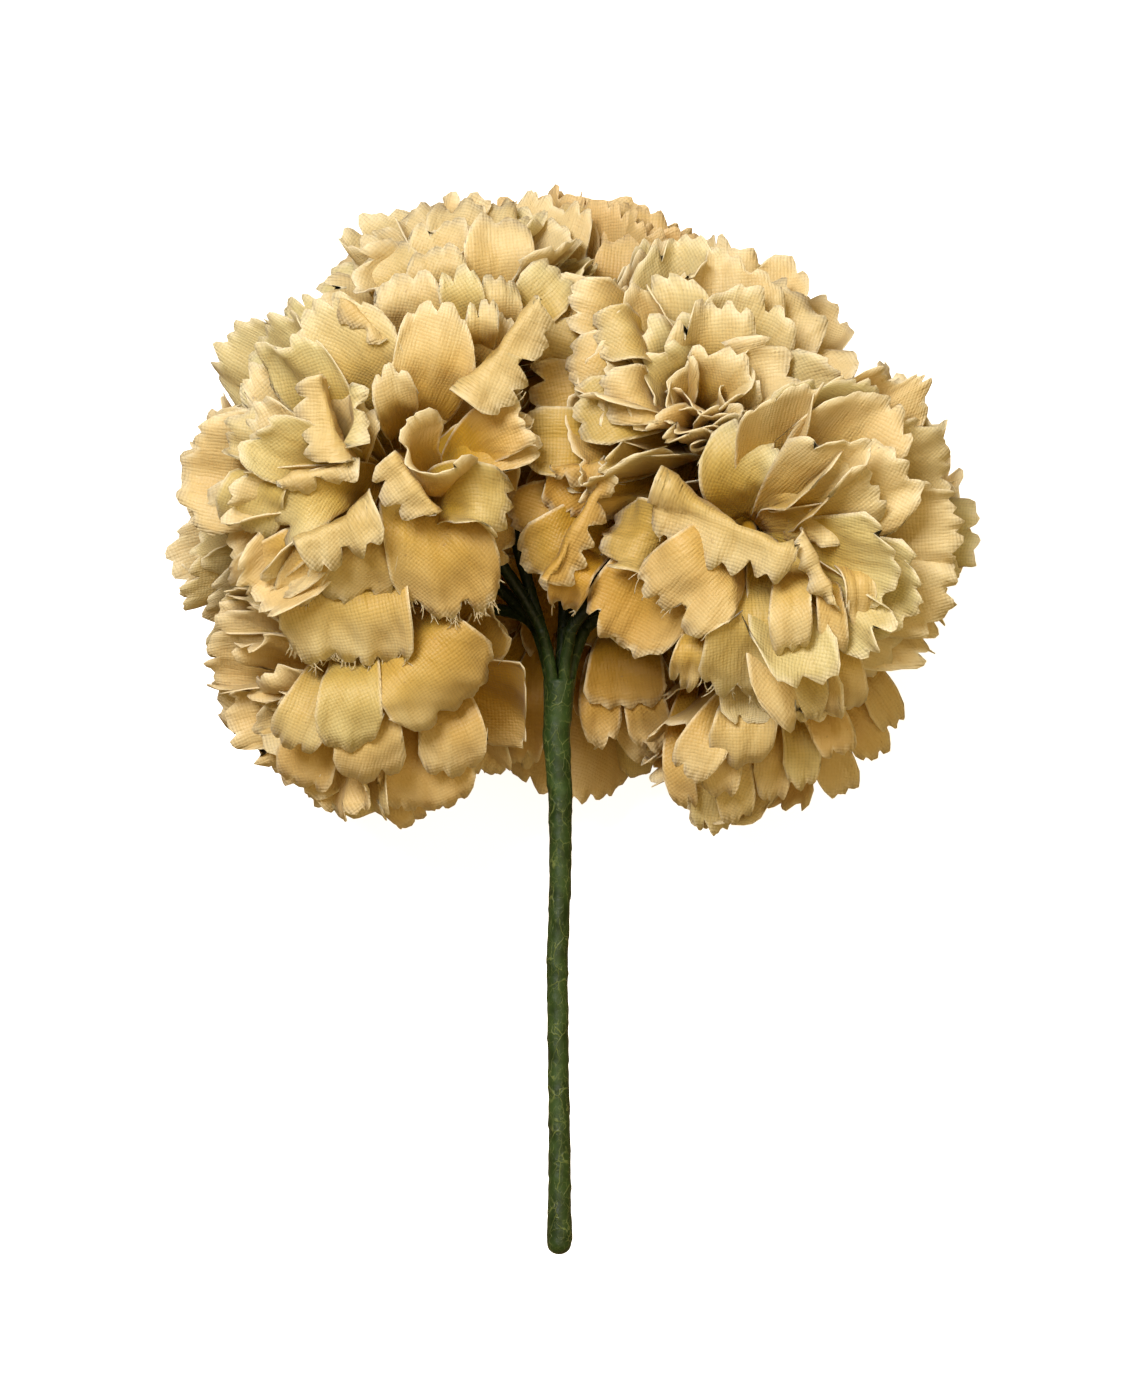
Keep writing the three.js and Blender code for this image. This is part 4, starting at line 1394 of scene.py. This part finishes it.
def branch_mesh(name):
    """Two taped wires that rise from the shaft and part, each to a small collar under its bloom."""
    degrees, carried = BRANCHES[name]
    angle = math.radians(degrees)
    mesh = bmesh.new()
    foot = on_ring(angle, BRANCH_RING_R - BRANCH_INSET, FORK_Y - BRANCH_FOOT)
    knee = on_ring(angle, BRANCH_RING_R, FORK_Y + BRANCH_KNEE)
    split = on_ring(angle, SPLIT_SPREAD, FORK_Y + SPLIT_RISE)
    leaving = (split - knee).normalized()
    stalk = bezier([foot, knee, split], STALK_STEPS)
    sweep(mesh, stalk, [BRANCH_R + TAPE_RISE / 2] * len(stalk), BRANCH_SIDES, degrees)
    flowers = {flower.name: flower for flower in BLOOMS}
    for flower in (flowers[flower_name] for flower_name in carried):
        start = split - leaving * WIRE_OVERLAP
        end = HEART + flower.base - flower.facing * COLLAR_GAP
        bends = [start, start + leaving * WIRE_LEAVING, end - flower.facing * WIRE_ARRIVING, end]
        path = bezier(bends, WIRE_STEPS)
        plain = WIRE_STEPS - COLLAR_STEPS
        radii = [
            BRANCH_R + COLLAR_FLARE * max(0.0, (i - plain) / COLLAR_STEPS) ** 1.5
            for i in range(len(path))
        ]
        sweep(mesh, path, radii, BRANCH_SIDES, degrees + flower.turn)
    return mesh


def at_heights(table, ys):
    """The values of a table of heights and values, read at other heights."""
    return np.interp(-ys, [-y for y, _ in table], [value for _, value in table])


def shaft_mesh():
    """The taped shaft, a little wavy, thicker at the fork and rounded at its tip."""
    mesh = bmesh.new()
    ys = np.linspace(SHAFT_LAP, TIP_R - SHAFT_LENGTH, SHAFT_STEPS)
    xs = STEM_X + at_heights(SHAFT_WANDER, ys)
    path = [HEART + Vector((x, FORK_Y + y, 0)) for x, y in zip(xs, ys)]
    radii = list(at_heights(SHAFT_GIRTH, ys) - TAPE_RISE)
    end = path[-1]
    for i in range(1, TIP_STEPS + 1):
        angle = math.pi / 2 * i / TIP_STEPS
        path.append(end - Vector((0, TIP_LENGTH * math.sin(angle), 0)))
        radii.append(max(TIP_END_R, TIP_R * math.cos(angle)))
    sweep(mesh, path, radii, SHAFT_SIDES, 3.0)
    return mesh


# Settings


def length_setting(name, description, default, unit="LENGTH"):
    """A length that a user may change."""
    return bpy.props.FloatProperty(name=name, description=description, default=default, unit=unit)


def share_setting(name, description, default):
    """A share from 0 to 1 that a user may change."""
    return bpy.props.FloatProperty(
        name=name, description=description, default=default, min=0, max=1, subtype="FACTOR"
    )


def colour_setting(name, description, *default):
    """A colour that a user may change."""
    return bpy.props.FloatVectorProperty(
        name=name, description=description, default=(*default, 1), size=4, subtype="COLOR"
    )


class CARNATION_PG_cloth(bpy.types.PropertyGroup):
    """Sizes and colours of the cloth petals"""

    petal_length: length_setting("Petal length", "Length of an outermost petal", 0.025)
    thickness: length_setting("Cloth thickness", "Thickness of the woven cloth", 0.00014)
    tooth_width: length_setting("Tooth width", "Width of a tooth of the pinked edge", 0.0027)
    tooth_depth: length_setting("Tooth depth", "Depth of a tooth of the pinked edge", 0.0013)
    thread_pitch: length_setting("Thread pitch", "Distance between threads of the weave", 0.00043)
    weave_relief: share_setting("Weave relief", "How strongly the threads stand out", 0.7)
    pleat_relief: share_setting("Pleat relief", "How strongly the fine pleats stand out", 0.6)
    light_through: share_setting("Light through", "Share of light that the cloth lets through", 0.3)
    cloth_colour: colour_setting("Cloth", "Old gold of the petals", 0.71, 0.48, 0.075)
    # Paler patches of the cloth, and the painted highlight towards the rims
    pale_and_highlight_colour: colour_setting("Faded", "Paler patches", 0.88, 0.785, 0.51)
    green_cast: colour_setting("Green cast", "Multiplies greenish petals", 0.93, 0.98, 0.88)
    warm_cast: colour_setting("Warm cast", "Multiplies warmer petals", 1.0, 0.94, 0.82)
    # Painted shade: the warm, dark colour of the pleats, roots and hollows
    painted_shade_colour: colour_setting("Heart", "Warmer cloth near the heart", 0.57, 0.32, 0.02)
    edge_colour: colour_setting("Cut edge", "Pale threads of the cut edge", 0.98, 0.88, 0.62)
    # Painted shade that darkens whole blooms
    bloom_shade_colour: colour_setting("Aged", "Multiplies the cloth of darker blooms", 0.92, 0.80, 0.62)
    speck_colour: colour_setting("Specks", "Small specks in the cloth", 0.35, 0.2, 0.08)


class CARNATION_PG_tape(bpy.types.PropertyGroup):
    """Colours of the floral tape"""

    tape_colour: colour_setting("Tape", "Green of the floral tape", 0.028, 0.056, 0.009)
    tape_dark: colour_setting("Tape shade", "Darker green of the tape", 0.009, 0.022, 0.002)
    tape_vein: colour_setting("Tape veins", "Paler green of its creases", 0.24, 0.28, 0.08)


class CARNATION_PG_stage(bpy.types.PropertyGroup):
    """Sizes of the floor and the camera"""

    floor_size: length_setting("Floor size", "Width of the floor", 3.0)
    lens: length_setting("Lens", "Focal length of the camera", 180.0, unit="CAMERA")


# Operators


class CARNATION_OT_petals(bpy.types.Operator):
    """Make the cloth petals of all ten blooms"""

    bl_idname = "carnation.petals"
    bl_label = "Petals"

    def execute(self, context):
        settings = context.scene.carnation_cloth
        groups = SimpleNamespace(
            weave=plain_weave_group(), blotch=blotch_group(), pleats=pleat_group()
        )
        for number, flower in enumerate(BLOOMS):
            faces = cloth_material(settings, groups, "Petal cloth " + flower.name, flower.shade)
            rims = cloth_material(
                settings, groups, "Cut edge " + flower.name, flower.shade, edge_only=True
            )
            mesh = bloom_mesh(settings, flower, number)
            piece = finished("petals_" + flower.name, mesh, [faces, rims])
            solidify = piece.modifiers.new("Cloth", "SOLIDIFY")
            solidify.thickness = settings.thickness
            solidify.offset = 0
            solidify.material_offset_rim = 1
            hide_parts("bloom_" + flower.name)
            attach(piece, "root")
        return {"FINISHED"}


class CARNATION_OT_stems(bpy.types.Operator):
    """Make the taped branches and the taped shaft, and finish the wire core"""

    bl_idname = "carnation.stems"
    bl_label = "Taped stems"

    def execute(self, context):
        groups = SimpleNamespace(blotch=bpy.data.node_groups.get("Blotches") or blotch_group())
        tape = tape_material(context.scene.carnation_tape, groups)
        meshes = {name: branch_mesh(name) for name in BRANCHES}
        meshes["stem_shaft"] = shaft_mesh()
        for name, mesh in meshes.items():
            for face in mesh.faces:
                face.smooth = True
            bmesh.ops.recalc_face_normals(mesh, faces=mesh.faces)
            piece = finished("taped_" + name, mesh, [tape])
            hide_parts(name)
            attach(piece, "root")
        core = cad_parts["wire_core"]
        core.data.materials.clear()
        core.data.materials.append(wire_material())
        return {"FINISHED"}


class CARNATION_OT_stage(bpy.types.Operator):
    """Make the pale floor, the soft lights and the camera above the bunch"""

    bl_idname = "carnation.stage"
    bl_label = "Stage"

    def execute(self, context):
        settings = context.scene.carnation_stage
        self.make_floor(settings)
        self.make_room(context)
        self.make_lights(context)
        self.make_camera(context, settings)
        context.scene.view_settings.view_transform = "Standard"
        return {"FINISHED"}

    def make_floor(self, settings):
        """White to the camera, and darker and warmer to the bunch, so that little light comes up
        from it and its shadows stay golden."""
        mesh = bmesh.new()
        bmesh.ops.create_grid(mesh, x_segments=2, y_segments=2, size=settings.floor_size / 2)
        material, tree, output = new_material("White floor")
        seen = node(tree, "ShaderNodeLightPath").outputs["Is Camera Ray"]
        finish = {
            "Base Color": mixed(tree, seen, FLOOR_TO_BUNCH, FLOOR_TO_CAMERA),
            "Roughness": 0.9,
            "Emission Color": (1, 1, 1, 1),
            "Emission Strength": maths(tree, "MULTIPLY", seen, FLOOR_GLOW),
        }
        put(tree, output, node(tree, "ShaderNodeBsdfPrincipled", finish).outputs["BSDF"])
        floor = finished("floor", mesh, [material])

    def make_room(self, context):
        """A dim warm room that looks pale to the camera."""
        world = context.scene.world or bpy.data.worlds.new("Studio")
        context.scene.world = world
        world.use_nodes = True
        tree = world.node_tree
        seen = node(tree, "ShaderNodeLightPath").outputs["Is Camera Ray"]
        room = tree.nodes["Background"]
        put(tree, room.inputs["Color"], mixed(tree, seen, ROOM_TO_BUNCH, ROOM_TO_CAMERA))
        put(tree, room.inputs["Strength"], spread(tree, seen, 0.0, 1.0, ROOM_LIGHT, 1.0))

    def make_lights(self, context):
        """A large soft key light above the blooms and a weaker warm fill from the front."""
        for name, place, size, power, tint in LAMPS:
            lamp = bpy.data.lights.new(name, "AREA")
            lamp.energy = power
            lamp.color = tint
            lamp.size = size
            light = bpy.data.objects.new(name, lamp)
            light.location = place
            aim = LAMPS_AIM - light.location
            light.rotation_euler = aim.to_track_quat("-Z", "Y").to_euler()
            context.collection.objects.link(light)

    def make_camera(self, context, settings):
        """Looks straight down at the front of the bunch."""
        camera = bpy.data.cameras.new("Camera")
        camera.lens = settings.lens
        camera.clip_end = 10
        tall = PICTURE_ROWS * PIXEL * MM
        distance = tall * settings.lens / camera.sensor_width
        seen = bpy.data.objects.new("Camera", camera)
        seen.location = (HEART + PICTURE_MIDDLE) * MM + Vector((0, 0, distance))
        context.collection.objects.link(seen)
        context.scene.camera = seen


class CARNATION_PT_bunch(bpy.types.Panel):
    """Makes the bunch's pieces and holds their sizes and colours"""

    bl_label = "Carnations"
    bl_idname = "CARNATION_PT_bunch"
    bl_space_type = "VIEW_3D"
    bl_region_type = "UI"
    bl_category = "Carnations"

    def draw(self, context):
        layout = self.layout
        for operator in OPERATORS:
            layout.operator(operator.bl_idname)
        for name in GROUPS:
            group = getattr(context.scene, name)
            box = layout.box()
            for setting in group.__annotations__:
                box.prop(group, setting)


GROUPS = {
    "carnation_cloth": CARNATION_PG_cloth,
    "carnation_tape": CARNATION_PG_tape,
    "carnation_stage": CARNATION_PG_stage,
}
OPERATORS = (CARNATION_OT_petals, CARNATION_OT_stems, CARNATION_OT_stage)


def register():
    for kind in (*GROUPS.values(), *OPERATORS, CARNATION_PT_bunch):
        bpy.utils.register_class(kind)
    for name, kind in GROUPS.items():
        setattr(bpy.types.Scene, name, bpy.props.PointerProperty(type=kind))


def unregister():
    for name in GROUPS:
        delattr(bpy.types.Scene, name)
    for kind in reversed((*GROUPS.values(), *OPERATORS, CARNATION_PT_bunch)):
        bpy.utils.unregister_class(kind)


def main():
    """Makes the whole bunch and its stage."""
    register()
    bpy.ops.carnation.petals()
    bpy.ops.carnation.stems()
    bpy.ops.carnation.stage()


if __name__ == "__main__":
    main()
